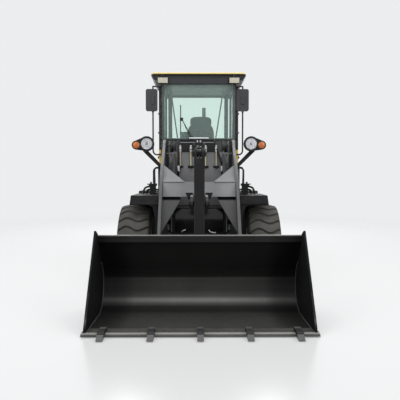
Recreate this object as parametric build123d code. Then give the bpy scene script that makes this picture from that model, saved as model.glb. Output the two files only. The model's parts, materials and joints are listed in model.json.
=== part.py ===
"""Compact articulated wheel loader with a general purpose bucket.

Millimetres, +Z up, the machine faces -Y and +X is the driver's left.
Every station "s" below is a distance behind the front axle, and a point in a
side outline is a pair (s, z). write() sets the finished pieces so that the
origin is on the ground under the middle of the machine.
"""
from build123d import *
from math import acos, atan2, cos, hypot, radians, sin
import os

# ---------------------------------------------------------------- overall
wheelbase = 2350
rear_overhang = 1300        # rear axle to the back of the counterweight
track = 1600
ground_gap = 5              # the bucket floor's height over the ground

# ---------------------------------------------------------------- fits
pin_fit = 0.05              # radial clearance of a running pin
side_gap = 5                # sideways gap between moving plates
panel_gap = 5               # gap round doors and lids

# ---------------------------------------------------------------- wheels
tyre_od = 1075
tyre_section = 410
tread_width = 370
rim_od = 508
rim_width = 330
rim_wall = 14
rim_disc_offset = 40        # the disc stands outboard of the wheel's centre
rim_disc_t = 16
hub_r = 130
hub_cap_r = 100
spindle_r = 45
axle_z = tyre_od / 2

# ---------------------------------------------------------------- axles
axle_tube_r = 75
axle_diff_r = 150
axle_diff_w = 300
brake_r = 150
brake_w = 45

# ---------------------------------------------------------------- articulation
hinge_s = wheelbase / 2
hinge_pin_r = 35
hinge_eye_r = 78
ear_t = 40
ear_gap = 10
ear_low_z = 480             # middle of the lower ear
ear_high_z = 900            # middle of the upper ear
steer_x = 280               # steering cylinders, each side of the middle
steer_z = 700
steer_rod_r = 18
steer_barrel_r = 34
steer_eye_r = 38
steer_eye_t = 34
steer_travel = 165          # rod travel each way
steer_barrel_front = 1400
steer_barrel_rear = 1800

# ---------------------------------------------------------------- front frame
frame_out = 345             # outer face of the side plates
frame_t = 30
frame_nose_s = -250
frame_back_s = 850
frame_low_z = axle_z + 162.5
frame_top_z = frame_low_z + 280
tower_front_s = 300         # the tower's front plate
tower_top_z = 1735
tower_plate_z = 1750        # top of the front plate
tower_wing_z = 1620         # the plate is wider above this height
tower_plate_t = 20
tower_wing = 400            # half width of the plate's top

# ---------------------------------------------------------------- lift arms
boom_pivot = (420, 1820)
bucket_pin = (-930, 260)
arm_in = 451                # inner face of an arm
arm_t = 36
arm_end_r = 115
arm_tip_r = 95
boom_pin_r = 40
bucket_pin_r = 35
beam_front = -320
beam_back = -120
beam_low = 1184
beam_high = 1366
beam_wall = 16
gusset_t = 14

# ---------------------------------------------------------------- tilt linkage
crank_pivot = (-541, 1109)
crank_top = (-470, 1710)
crank_low = (-700, 390)
bucket_link_pin = (-1045, 465)
crank_w = 125
crank_slot = 62             # slots in both ends of the crank
crank_eye_r = 62
crank_hub_r = 85
crank_neck_r = 42           # the upper arm's half depth at the hub
link_t = 50
link_eye_r = 52
link_pin_r = 28

# ---------------------------------------------------------------- hydraulic cylinders
tilt_barrel_r = 45
tilt_rod_r = 22
tilt_eye_t = 50
tilt_eye_r = 48
tilt_pin_r = 30
tilt_head = 600             # base pin to the barrel's head
tilt_rod_from = 355         # base pin to the rod's inner end, clear of the tower plate when drawn in
lift_x = 396
lift_base = (650, 660)
lift_eye = (100, 1437)
lift_barrel_r = 42
lift_rod_r = 22
lift_eye_r = 48
lift_eye_t = 50
lift_pin_r = 28
lift_boss_r = 36
lift_head = 800

# ---------------------------------------------------------------- bucket
bucket_half = 1050
bucket_wall = 16
bucket_side_t = 20
bucket_edge_s = -2100
bucket_arc_r = 300
bucket_arc = (-1440, ground_gap + 5 + bucket_arc_r)   # centre of the back's curve
bucket_rim = (-1420, 841)
bucket_ear_z = 895          # peaks of the side plates
edge_half = 1070
edge_depth = 180
edge_t = 25
tooth_tip_s = -2220
tooth_w = 58
tooth_x = [-880, -440, 0, 440, 880]
lug_t = 25

# ---------------------------------------------------------------- rear frame
chassis_in = 340
chassis_t = 30
chassis_front_s = 1360
chassis_back_s = 3300
chassis_low_z = axle_z + 182.5
chassis_top_z = chassis_low_z + 260

# ---------------------------------------------------------------- cab
cab_front_s = 985
cab_rear_s = 2250
cab_half = 555
cab_rear_half = 510         # the quarter panels slant in to the rear frame
cab_wall = 35               # side frames
cab_post = 60               # front and rear frames, front to back
cab_front_post = 55         # seen from the front
cab_rear_post = 63
cab_floor_z = 1200
cab_floor_t = 50
cab_top_z = 2810
header_z = 2784
windscreen_low_z = 2000
rear_window_low_z = 1850
door_post_s = 1955          # front face of the door post
door_post_w = 60
glass_t = 6
roof_half = 700
roof_front_s = 930
roof_back_s = 2360
roof_liner_t = 105          # dark body of the roof, under its skin
roof_skin_t = 40
roof_edge_z = 2850          # lower edge of the roof's sides
door_t = 30
door_lap = 20
door_window_low_z = 1800
door_rail = 65

# ---------------------------------------------------------------- hood and rear
hood_half = 520
hood_front_s = cab_rear_s + 50
hood_back_s = 3540
hood_low_z = 1130
hood_top_z = 1950
hood_wall = 25
hood_slope = 120
stack_x = 108
stack_s = 2900
stack_top_z = 2700
cleaner_x = -220
cleaner_s = 2650
grille_half = 380
grille_low = hood_low_z + 80
grille_high = hood_low_z + 460
weight_front_s = chassis_back_s
weight_half = 800
weight_low_z = 560
weight_top_z = 1100
lamp_proud = 15
rear_axle_s = wheelbase
rear_end_s = rear_axle_s + rear_overhang

front_axle_y = -(rear_end_s + tooth_tip_s) / 2
os.makedirs("parts", exist_ok=True)


def write(node, shape):
    """Write one node's STEP, set so that the origin is under the middle."""
    placed = Pos(0, front_axle_y, 0) * shape
    placed.label = node
    export_step(placed, f"parts/{node}.step")


def box(x0, x1, s0, s1, z0, z1):
    """A block between two corners."""
    size = (abs(x1 - x0), abs(s1 - s0), abs(z1 - z0))
    return Pos((x0 + x1) / 2, (s0 + s1) / 2, (z0 + z1) / 2) * Box(*size)


def rod_x(point, radius, x0, x1):
    """A round bar across the machine through a side point."""
    middle = Pos((x0 + x1) / 2, point[0], point[1])
    return middle * Rot(0, 90, 0) * Cylinder(radius, abs(x1 - x0))


def rod_z(x, s, radius, z0, z1):
    """An upright round bar."""
    return Pos(x, s, (z0 + z1) / 2) * Cylinder(radius, z1 - z0)


def bar(start, end, radius):
    """A round bar between two points in space."""
    a, b = Vector(*start), Vector(*end)
    across = Plane(origin=a, z_dir=b - a)
    return across * Pos(0, 0, (b - a).length / 2) * Cylinder(radius, (b - a).length)


def tube_path(points, bend, radius):
    """A round tube along straight runs joined by arcs."""
    path = FilletPolyline(*points, radius=bend)
    start = Plane(origin=path @ 0, z_dir=path % 0)
    return sweep(start * Circle(radius), path=path)


def plate(outline, x0, x1):
    """A side outline as a plate from x0 to x1."""
    low, high = min(x0, x1), max(x0, x1)
    return extrude(Plane.YZ.offset(low) * outline, amount=high - low, dir=(1, 0, 0))


def deck(outline, z0, z1):
    """A top view outline as a level plate from z0 to z1."""
    return extrude(Plane.XY.offset(z0) * outline, amount=z1 - z0, dir=(0, 0, 1))


def poly(*points):
    """A straight-edged side outline."""
    return Polygon(*points, align=None)


def disc(point, radius):
    """A round side outline."""
    return Pos(*point) * Circle(radius)


def hull(*discs):
    """The outline of a plate stretched round several (point, radius) discs."""
    edges = []
    for point, radius in discs:
        edges += disc(point, radius).edges()
    return make_hull(edges)


def both(make):
    """The same piece on both sides, for side = 1 (left) and -1 (right)."""
    return make(1) + make(-1)


# ================================================================ wheels
def tyre(x, s):
    """A plain tyre out to the tips of its tread."""
    half, tread = tyre_section / 2, tread_width / 2
    bead_r, tip_r = rim_od / 2, tyre_od / 2
    bead = rim_width / 2 - rim_wall
    # half profile, as (distance from the middle plane, radius)
    flank = [(bead, bead_r), (half - 14, bead_r + 62), (half, bead_r + 142), (half - 8, tip_r - 75),
             (tread, tip_r - 28), (tread / 2, tip_r - 7), (30, tip_r)]
    other = [(-across, radius) for across, radius in reversed(flank)]
    section = make_face(Polyline(*flank, *other, close=True))
    return Pos(x, s, axle_z) * revolve(section, Axis.X, 360)


def rim(x, s):
    """A rim with its disc, hub and hub cap, open to the inside for the spindle."""
    out = 1 if x > 0 else -1
    bead_r = rim_od / 2
    barrel = Cylinder(bead_r, rim_width) - Cylinder(bead_r - rim_wall, rim_width)
    disc_z = rim_disc_offset + rim_disc_t / 2
    face = Pos(0, 0, disc_z) * Cylinder(bead_r - rim_wall, rim_disc_t)
    hub_len = 120
    hub = Pos(0, 0, rim_disc_offset - hub_len / 2) * Cylinder(hub_r, hub_len)
    cap = Pos(0, 0, rim_disc_offset + rim_disc_t + 30) * Cylinder(hub_cap_r, 60)
    bore = Pos(0, 0, rim_disc_offset - hub_len / 2 - 10) * Cylinder(spindle_r + pin_fit, hub_len)
    wheel = barrel + face + hub + cap - bore
    return Pos(x, s, axle_z) * Rot(0, 90 * out, 0) * wheel


def axle(s, top_z):
    """An axle housing with its brakes, spindles and the pad under the frame."""
    brake_out = track / 2 + rim_disc_offset - 120 - side_gap
    at = (s, axle_z)
    body = rod_x(at, axle_tube_r, -brake_out + brake_w, brake_out - brake_w)
    body += rod_x(at, axle_diff_r, -axle_diff_w / 2, axle_diff_w / 2)
    for side in (1, -1):
        body += rod_x(at, brake_r, side * (brake_out - brake_w), side * brake_out)
        body += rod_x(at, spindle_r, side * brake_out, side * (brake_out + 90))
        body += box(side * 180, side * (chassis_in - 5), s - 90, s + 90, axle_z, top_z)
    return body


for end, wheel_s in (("front", 0), ("rear", rear_axle_s)):
    for name, side in (("left", 1), ("right", -1)):
        write(f"tyre_{end}_{name}", tyre(side * track / 2, wheel_s))
        write(f"rim_{end}_{name}", rim(side * track / 2, wheel_s))

write("front_axle", axle(0, frame_low_z))
write("rear_axle", axle(rear_axle_s, chassis_low_z))


# ================================================================ front frame
def front_frame():
    """Side plates, tower, articulation ears and every pin that they carry."""
    inner = frame_out - frame_t
    px, pz = boom_pivot
    outline = poly(
        (frame_nose_s, frame_low_z),
        (frame_nose_s, frame_top_z - 40),
        (-60, frame_top_z + 60),
        (tower_front_s - 10, tower_top_z),
        (px, pz + 90),
        (px + 105, pz),
        (px + 180, 1250),
        (frame_back_s, frame_top_z),
        (frame_back_s, ear_low_z - 40),
        (frame_back_s - 220, ear_low_z - 40),
        (frame_back_s - 330, frame_low_z),
    )
    outline += disc(boom_pivot, 105)
    body = both(lambda side: plate(outline, side * inner, side * frame_out))
    # floor, nose, deck and back plates between the side plates
    body += box(-inner, inner, frame_nose_s, frame_back_s - 330, frame_low_z, frame_low_z + frame_t)
    body += box(-inner, inner, frame_nose_s, frame_nose_s + frame_t, frame_low_z, frame_top_z - 60)
    body += box(-inner, inner, frame_back_s - frame_t, frame_back_s, ear_low_z - 40, frame_top_z)
    # the tower's front plate, with a wider head
    plate_back = tower_front_s + tower_plate_t
    body += box(-inner, inner, tower_front_s, plate_back, 1040, tower_plate_z)
    body += both(lambda side: box(side * inner, side * tower_wing, tower_front_s, plate_back,
                                  tower_wing_z, tower_plate_z))
    notch = tilt_barrel_r + 17
    body -= box(-notch, notch, tower_front_s - 1, plate_back + 1, tower_plate_z - 60, tower_plate_z + 1)
    # ear plates beside the lift arms' pivots, and edge strips up to their tops
    ear = poly((tower_front_s - 4, 1700), (tower_front_s - 4, 1860), (px - 60, pz + 96), (px + 60, pz + 96),
               (px + 100, pz), (px + 40, pz - 108))
    body += both(lambda side: plate(ear, side * (tower_wing - 25), side * tower_wing))
    # lugs for the tilt cylinder
    lug_in = tilt_eye_t / 2 + 4 + side_gap * 4
    lug = hull((boom_pivot, 68), ((tower_front_s + tower_plate_t + 40, 1640), 30))
    lug += poly((tower_front_s + 5, 1500), (tower_front_s + 5, tower_top_z - 60),
                (px + 40, pz - 40), (px + 20, 1560))
    body += both(lambda side: plate(lug, side * lug_in, side * (lug_in + frame_t)))
    body += rod_x(boom_pivot, tilt_pin_r, -lug_in - 10, lug_in + 10)
    # lift arm pins, each with a boss and a cap
    arm_out = arm_in + arm_t
    for side in (1, -1):
        body += rod_x(boom_pivot, 78, side * (inner + 5), side * (arm_in - side_gap))
        body += rod_x(boom_pivot, boom_pin_r, side * arm_in, side * (arm_out + side_gap + 8))
        body += rod_x(boom_pivot, boom_pin_r, side * (arm_in - 20), side * arm_in)
        body += rod_x(boom_pivot, 58, side * (arm_out + side_gap), side * (arm_out + side_gap + 14))
        eye_in = lift_x - lift_eye_t / 2
        eye_out = lift_x + lift_eye_t / 2
        body += rod_x(lift_base, lift_boss_r, side * (inner + 5), side * (eye_in - side_gap))
        body += rod_x(lift_base, lift_pin_r, side * (eye_in - 10), side * (eye_out + side_gap + 6))
        body += rod_x(lift_base, lift_boss_r, side * (eye_out + side_gap), side * (eye_out + side_gap + 12))
    # articulation ears
    for z in (ear_low_z, ear_high_z):
        ear = Pos(0, hinge_s) * Circle(hinge_eye_r)
        ear += Polygon((-hinge_eye_r, hinge_s), (hinge_eye_r, hinge_s), (190, frame_back_s - 5),
                       (-190, frame_back_s - 5), align=None)
        ear -= Pos(0, hinge_s) * Circle(hinge_pin_r + pin_fit)
        body += deck(ear, z - ear_t / 2, z + ear_t / 2)
    # forks for the steering cylinders
    fork_gap = steer_eye_t / 2 + side_gap + 1
    for z in (steer_z - fork_gap - 20, steer_z + fork_gap):
        for side in (1, -1):
            arm = Pos(side * steer_x, hinge_s) * Circle(steer_eye_r + 4)
            arm += Polygon((side * (steer_x - 42), hinge_s), (side * (steer_x + 42), hinge_s),
                           (side * (steer_x + 42), frame_back_s - 5), (side * (steer_x - 42), frame_back_s - 5),
                           align=None)
            body += deck(arm, z, z + 20)
    return body


write("front_frame", front_frame())


fender_in = track / 2 - tyre_section / 2 - 95
fender_out = track / 2 + 40
fender_top_z = tyre_od + 125
fender_end_z = tyre_od + 21   # its front edge
fender_skin = 14


def front_fenders():
    """Flat-topped mudguards over the front tyres, on arms from the frame."""
    inner, outer = fender_in, fender_out
    top_z, skin = fender_top_z, fender_skin
    end_z = fender_end_z
    over = poly((-450, end_z), (-330, top_z), (380, top_z), (470, end_z + 24),
                (458, end_z + 18), (372, top_z - skin), (-324, top_z - skin), (-440, end_z - 10))
    # the outer edge folds in and down, as (x, z)
    fold = [(outer - 3, top_z), (outer - 40, top_z - 55), (outer - 42, top_z - 92), (outer - 54, top_z - 92),
            (outer - 52, top_z - 50), (outer - 22, top_z)]

    def one(side):
        body = plate(over, side * inner, side * outer)
        lip = Polygon(*[(side * x, z) for x, z in fold], align=None)
        body += extrude(Plane.XZ.offset(-380) * lip, amount=710, dir=(0, -1, 0))
        web = poly((-322, top_z - skin), (372, top_z - skin), (250, 800), (-100, 800))
        body += plate(web, side * inner, side * (inner + 20))
        body += box(side * frame_out, side * (inner + 5), -60, 200, 820, 880)
        return body
    return both(one)


write("front_fenders", front_fenders())

lamp_x = 688
lamp_s = 150
lamp_z = 1865
lamp_r = 76
lamp_rim = 97
lamp_drop = 19              # the indicator stands lower than the headlamp
indicator_x = 826
indicator_r = 48
indicator_rim = 58
lamp_foot = (530, 330, 1200)


def headlamp_brackets():
    """Posts from the mudguards with the teardrop housings of the lamps."""
    def one(side):
        x, s, z = lamp_foot
        body = box(side * (x - 22), side * (x + 22), s - 10, s + 10, z, z + 400)
        arm = Polygon((side * (x - 22), z + 395), (side * (x + 22), z + 372), (side * (lamp_x + 55), lamp_z - 105),
                      (side * (lamp_x + 20), lamp_z - 62), align=None)
        body += extrude(Plane.XZ.offset(-s - 10) * arm, amount=20, dir=(0, -1, 0))
        body += box(side * (lamp_x - 10), side * (lamp_x + 50), lamp_s + 30, s + 10, lamp_z - 105, lamp_z - 80)
        ends = [((side * lamp_x, lamp_z), lamp_rim), ((side * indicator_x, lamp_z - lamp_drop), indicator_rim)]
        shell = hull(*ends)
        body += extrude(Plane.XZ.offset(-lamp_s - 60) * shell, amount=50, dir=(0, -1, 0))
        ring = Pos(side * lamp_x, lamp_z) * Circle(lamp_rim)
        ring += Pos(side * indicator_x, lamp_z - lamp_drop) * Circle(indicator_rim)
        ring -= Pos(side * lamp_x, lamp_z) * Circle(lamp_r)
        ring -= Pos(side * indicator_x, lamp_z - lamp_drop) * Circle(indicator_r)
        body += extrude(Plane.XZ.offset(-lamp_s - 12) * ring, amount=22, dir=(0, -1, 0))
        cup = Pos(side * lamp_x, lamp_s + 95, lamp_z) * Rot(90, 0, 0) * Cone(52, 90, 80)
        return body + cup
    return both(one)


def round_lens(x, radius, z, back_s, depth):
    """A pair of lenses in the front of the lamp housings."""
    return both(lambda side: Pos(side * x, back_s - depth / 2, z) * Rot(90, 0, 0) * Cylinder(radius, depth))


write("headlamp_brackets", headlamp_brackets())
write("headlamp_lenses", round_lens(lamp_x, lamp_r - 0.3, lamp_z, lamp_s + 9.7, 14))
write("indicator_lenses", round_lens(indicator_x, indicator_r - 0.3, lamp_z - lamp_drop, lamp_s + 9.7, 26))


pipe_x = [-250, -108, 90, 232]
pipe_r = 10
pipe_low_z = 1560
pipe_high_z = 1765
union_r = 16
hose_r = 13


def hydraulic_pipes():
    """Steel pipes in front of the tower's plate, with a union at each end."""
    face = tower_front_s - union_r - 5
    body = Part()
    for x in pipe_x:
        body += rod_z(x, face, pipe_r, pipe_low_z, pipe_high_z)
        body += rod_z(x, face, union_r, pipe_high_z, pipe_high_z + 80)
        body += rod_z(x, face, union_r + 3, pipe_low_z - 40, pipe_low_z)
        body += box(x - 9, x + 9, face, tower_front_s, pipe_low_z - 30, pipe_low_z - 6)
    return body


write("hydraulic_pipes", hydraulic_pipes())


def hydraulic_hoses():
    """Hose loops inboard of the mudguards, and arcs down from a valve block."""
    # (x of the outer leg, x of the inner leg, station, foot, top)
    loops = [(589, 533, 285, fender_top_z, fender_top_z + 333)]
    # (x and z at the block, x and z on the mudguard, station)
    arcs = [(640, fender_top_z + 95, 742, fender_top_z - 12, 235),
            (640, fender_top_z + 55, 705, fender_top_z - 12, 280)]

    def one(side):
        body = box(side * 575, side * 655, 205, 310, fender_top_z, fender_top_z + 125)
        for x_out, x_in, s, low, high in loops:
            pts = [(side * x_out, s, low), (side * x_out, s, high), (side * x_in, s, high),
                   (side * x_in, s, low)]
            body += tube_path(pts, (x_out - x_in) / 2 - 1, hose_r)
        for x0, z0, x1, z1, s in arcs:
            pts = [(side * x0, s, z0), (side * x1, s, z0), (side * x1, s, fender_top_z)]
            body += tube_path(pts, min(x1 - x0, z0 - z1) - 12, hose_r)
        return body
    return both(one)


write("hydraulic_hoses", hydraulic_hoses())


# ================================================================ boom
def boom_arm(side):
    """One lift arm, cut from plate, with its pin holes."""
    px, pz = boom_pivot
    bx, bz = bucket_pin
    outline = poly(
        (px, pz + arm_end_r),
        (-260, 1470),
        (-620, 930),
        (bx - arm_tip_r, bz + 40),
        (bx + 65, bz - 66),
        (-370, 790),
        (0, 1250),
        (px + 40, pz - 108),
    )
    outline = fillet(outline.vertices().filter_by_position(Axis.Y, 700, 1600), 120)
    outline += disc(boom_pivot, arm_end_r) + disc(bucket_pin, arm_tip_r) + disc(lift_eye, 80)
    outline -= disc(boom_pivot, boom_pin_r + pin_fit)
    outline -= disc(bucket_pin, bucket_pin_r + pin_fit)
    return plate(outline, side * arm_in, side * (arm_in + arm_t))


def boom_crossbeam():
    """The box beam between the arms, its gussets and the crank's lugs."""
    outer = poly((beam_front, beam_low), (beam_front, beam_high), (beam_back, beam_high), (beam_back, beam_low))
    body = plate(outer, -arm_in, arm_in)
    hollow = poly((beam_front + beam_wall, beam_low + beam_wall), (beam_front + beam_wall, beam_high - beam_wall),
                  (beam_back - beam_wall, beam_high - beam_wall), (beam_back - beam_wall, beam_low + beam_wall))
    body -= plate(hollow, -arm_in + beam_wall, arm_in - beam_wall)
    # corner gussets against the arms, above and below the beam
    for side in (1, -1):
        upper = Polygon((side * arm_in, 370), (side * 180, 0), (side * arm_in, 0), align=None)
        lower = Polygon((side * arm_in, 0), (side * 231, 0), (side * arm_in, -420), align=None)
        lean_up = Plane(origin=(0, beam_front + 12, beam_high - 8), x_dir=(1, 0, 0), z_dir=(0, -0.565, 0.825))
        lean_down = Plane(origin=(0, beam_front - 22, beam_low - 49), x_dir=(1, 0, 0), z_dir=(0, -0.878, 0.478))
        body += extrude(lean_up * upper, amount=gusset_t, dir=lean_up.z_dir)
        body += extrude(lean_down * lower, amount=gusset_t, dir=lean_down.z_dir)
        # the web that carries the lower gusset under the beam
        web = poly((beam_front + 90, beam_low + 2), (beam_front + 108, beam_low + 2),
                   (beam_front - 12, beam_low - 62), (beam_front - 26, beam_low - 56))
        body += plate(web, side * 231, side * arm_in)
    # lugs that carry the crank
    lug = hull((crank_pivot, 78), ((beam_front + 30, beam_low - 4), 34), ((beam_back - 60, beam_low - 30), 50))
    lug_in = crank_w / 2 + side_gap + 8
    lug -= disc(crank_pivot, bucket_pin_r + pin_fit)
    lug -= poly((beam_front, beam_low), (beam_front, beam_high + 60), (beam_back + 60, beam_high + 60),
                (beam_back + 60, beam_low))
    body += both(lambda side: plate(lug, side * lug_in, side * (lug_in + frame_t)))
    # tapered feet beside the lugs
    for side in (1, -1):
        foot = Polygon((side * lug_in, 1233), (side * 169, 1233), (side * 129, 1150), (side * lug_in, 1150),
                       align=None)
        body += extrude(Plane.XZ.offset(-beam_front - 2) * foot, amount=22, dir=(0, -1, 0))
    return body


write("boom_arm_left", boom_arm(1))
write("boom_arm_right", boom_arm(-1))
write("boom_crossbeam", boom_crossbeam())


# ================================================================ tilt linkage
def bellcrank():
    """The tilt lever, forked at both ends, on its own pivot pin."""
    # the upper arm is cut back behind, so that it clears the crossbeam
    neck = (crank_pivot[0] - crank_hub_r + crank_neck_r, crank_pivot[1])
    shape = hull((crank_top, crank_eye_r), (neck, crank_neck_r))
    shape += hull((crank_pivot, crank_hub_r), (crank_low, crank_eye_r))
    body = plate(shape, -crank_w / 2, crank_w / 2)
    slot = crank_slot / 2
    top_s, top_z = crank_top
    low_s, low_z = crank_low
    body -= box(-slot, slot, top_s - 200, top_s + 200, top_z - 130, top_z + 200)
    body -= box(-slot, slot, low_s - 200, low_s + 200, low_z - 200, low_z + 130)
    lug_out = crank_w / 2 + side_gap + 8 + frame_t
    body += rod_x(crank_pivot, bucket_pin_r, -lug_out - 6, lug_out + 6)
    hole = rod_x(crank_low, link_pin_r + pin_fit, -crank_w, crank_w)
    body -= hole
    body += both(lambda side: rod_x(crank_top, 38, side * (crank_w / 2 - 5), side * (crank_w / 2 + 12)))
    return body


def tilt_link():
    """The link from the lever to the bucket, with its own pin at the lever."""
    shape = hull((crank_low, link_eye_r), (bucket_link_pin, link_eye_r - 6))
    body = plate(shape, -link_t / 2, link_t / 2)
    body += rod_x(crank_low, link_pin_r, -crank_w / 2 - 6, crank_w / 2 + 6)
    return body


write("bellcrank", bellcrank())
write("tilt_link", tilt_link())


# ================================================================ bucket
def bucket_profile(inset):
    """The bucket's side outline, moved in by an inset all round its back."""
    cs, cz = bucket_arc
    rs, rz = bucket_rim
    r = bucket_arc_r - inset
    reach = hypot(rs - cs, rz - cz)
    lean = atan2(rz - cz, rs - cs)
    turn = lean - acos(bucket_arc_r / reach)
    ux, uz = cos(turn), sin(turn)
    top = (rs - inset * ux, rz - inset * uz)
    tangent = (cs + r * ux, cz + r * uz)
    mid_a = turn / 2 - radians(45)
    back = (cs + r * cos(mid_a), cz + r * sin(mid_a))
    low = (cs, cz - r)
    return top, tangent, back, low


def bucket_shell():
    """Floor, curved back, sides, rim bar and the lugs for arms and link."""
    edge_back = bucket_edge_s + edge_depth
    top, tangent, back, low = bucket_profile(0)
    top_i, tangent_i, back_i, low_i = bucket_profile(bucket_wall)
    front = (edge_back, low[1])
    front_i = (edge_back, low_i[1])
    outer = Line(top, tangent) + ThreePointArc(tangent, back, low) + Line(low, front)
    inner = Line(front_i, low_i) + ThreePointArc(low_i, back_i, tangent_i) + Line(tangent_i, top_i)
    wall = make_face(outer + Line(front, front_i) + inner + Line(top_i, top))
    body = plate(wall, -bucket_half + bucket_side_t, bucket_half - bucket_side_t)
    ears = (bucket_rim[0] - 30, bucket_ear_z)
    nose = (bucket_edge_s + 40, low[1] + edge_t)
    side_wall = make_face(
        Line(top, tangent) + ThreePointArc(tangent, back, low) + Line(low, (edge_back, low[1]))
        + Line((edge_back, low[1]), (edge_back, nose[1])) + Line((edge_back, nose[1]), nose)
        + Line(nose, (nose[0], nose[1] + 40)) + Line((nose[0], nose[1] + 40), (ears[0] - 80, ears[1]))
        + Line((ears[0] - 80, ears[1]), top))
    body += both(lambda side: plate(side_wall, side * (bucket_half - bucket_side_t), side * bucket_half))
    # rim bar along the top of the back
    bar_h = 70
    body += box(-bucket_half + bucket_side_t, bucket_half - bucket_side_t,
                bucket_rim[0] - 28, bucket_rim[0] + 4, bucket_rim[1] - bar_h, bucket_rim[1])
    # forks on the back for the two arms, with their pins
    arm_out = arm_in + arm_t
    root = poly((-1260, 140), (-1170, 500), (-1110, 500), (bucket_pin[0] + 20, bucket_pin[1] + 60),
                (bucket_pin[0] + 10, bucket_pin[1] - 80), (-1260, 70))
    fork = (root + disc(bucket_pin, 82)) - Pos(*bucket_arc) * Circle(bucket_arc_r - 4)
    for side in (1, -1):
        for x in (arm_in - 11 - lug_t, arm_out + 11):
            body += plate(fork, side * x, side * (x + lug_t))
        body += rod_x(bucket_pin, bucket_pin_r, side * (arm_in - 20), side * (arm_out + 20))
    # lugs for the tilt link
    tongue = hull((bucket_link_pin, 60), ((-1200, 410), 40)) + hull((bucket_link_pin, 60), ((-1190, 560), 30))
    tongue = tongue - Pos(*bucket_arc) * Circle(bucket_arc_r - 4)
    cut = poly(top, tangent, (tangent[0] - 400, tangent[1]), (top[0] - 400, top[1]))
    tongue = tongue - cut
    inside = link_t / 2 + side_gap + 1
    body += both(lambda side: plate(tongue, side * inside, side * (inside + lug_t)))
    return body


def cutting_edge():
    """The thick ground edge under the bucket's lip."""
    low_z = bucket_arc[1] - bucket_arc_r
    back = bucket_edge_s + edge_depth
    shape = poly((back, low_z), (back, low_z + edge_t), (bucket_edge_s + 45, low_z + edge_t),
                 (bucket_edge_s, low_z + 8), (bucket_edge_s, low_z))
    return plate(shape, -edge_half, edge_half)


def bucket_teeth():
    """Five teeth on the edge, each with its adapter."""
    low_z = bucket_arc[1] - bucket_arc_r
    top = low_z + edge_t
    shape = poly((bucket_edge_s + 130, top), (bucket_edge_s + 110, top + 34), (bucket_edge_s - 20, top + 30),
                 (tooth_tip_s, low_z + 6), (tooth_tip_s, low_z), (bucket_edge_s, low_z),
                 (bucket_edge_s, low_z + 8), (bucket_edge_s + 45, top))
    body = Part()
    for x in tooth_x:
        body += plate(shape, x - tooth_w / 2, x + tooth_w / 2)
    return body


write("bucket_shell", bucket_shell())
write("cutting_edge", cutting_edge())
write("bucket_teeth", bucket_teeth())


# ================================================================ cylinders
def barrel(x, base, tip, radius, rod_r, head, eye_r, eye_t, pin_r):
    """A cylinder's barrel from its base eye towards its rod's eye."""
    length = hypot(tip[0] - base[0], tip[1] - base[1])
    ds, dz = (tip[0] - base[0]) / length, (tip[1] - base[1]) / length
    along = Plane(origin=(x, base[0], base[1]), x_dir=(1, 0, 0), z_dir=(0, ds, dz))
    start = eye_r - 6
    tube = along * Pos(0, 0, (start + head) / 2) * Cylinder(radius, head - start)
    tube += along * Pos(0, 0, head - 25) * Cylinder(radius + 4, 50)
    tube += rod_x(base, eye_r, x - eye_t / 2, x + eye_t / 2)
    bore = along * Pos(0, 0, (eye_r + 14 + head) / 2) * Cylinder(rod_r + pin_fit, head - eye_r - 14 + 1)
    return tube - bore - rod_x(base, pin_r + pin_fit, x - eye_t, x + eye_t)


def piston_rod(x, base, tip, rod_r, inside, eye_r, eye_t):
    """A cylinder's rod from inside the barrel to its eye."""
    length = hypot(tip[0] - base[0], tip[1] - base[1])
    ds, dz = (tip[0] - base[0]) / length, (tip[1] - base[1]) / length
    along = Plane(origin=(x, base[0], base[1]), x_dir=(1, 0, 0), z_dir=(0, ds, dz))
    shank = length - eye_r / 2
    body = along * Pos(0, 0, (inside + shank) / 2) * Cylinder(rod_r, shank - inside)
    return body + rod_x(tip, eye_r, x - eye_t / 2, x + eye_t / 2)


write("tilt_barrel", barrel(0, boom_pivot, crank_top, tilt_barrel_r, tilt_rod_r, tilt_head,
                            tilt_eye_r, tilt_eye_t, tilt_pin_r)
      + box(-14, 14, tower_front_s - 10, tower_front_s + 10, boom_pivot[1] + 22, boom_pivot[1] + 130)
      + box(-130, 130, tower_front_s - 12, tower_front_s + 12, boom_pivot[1] + 118, boom_pivot[1] + 142))
write("tilt_rod", piston_rod(0, boom_pivot, crank_top, tilt_rod_r, tilt_rod_from, tilt_eye_r, tilt_eye_t))
write("lift_barrels", both(lambda side: barrel(side * lift_x, lift_base, lift_eye, lift_barrel_r, lift_rod_r,
                                               lift_head, lift_eye_r, lift_eye_t, lift_pin_r)))
write("lift_rods", both(lambda side: piston_rod(side * lift_x, lift_base, lift_eye, lift_rod_r, 130,
                                                lift_eye_r, lift_eye_t)))


def bar_y(x, z, radius, s0, s1):
    """A round bar along the machine."""
    return Pos(x, (s0 + s1) / 2, z) * Rot(90, 0, 0) * Cylinder(radius, s1 - s0)


def steer_barrels():
    """Steering cylinder barrels, held along the rear frame."""
    def one(side):
        x = side * steer_x
        body = bar_y(x, steer_z, steer_barrel_r, steer_barrel_front, steer_barrel_rear)
        return body - bar_y(x, steer_z, steer_rod_r + pin_fit, steer_barrel_front - 1, steer_barrel_rear - 12)
    return both(one)


def steer_rod(side):
    """A steering cylinder's rod and eye."""
    x = side * steer_x
    body = bar_y(x, steer_z, steer_rod_r, hinge_s, steer_barrel_rear - 14 - steer_travel)
    return body + rod_z(x, hinge_s, steer_eye_r, steer_z - steer_eye_t / 2, steer_z + steer_eye_t / 2)


write("steer_barrels", steer_barrels())
write("steer_rod_left", steer_rod(1))
write("steer_rod_right", steer_rod(-1))


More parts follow.
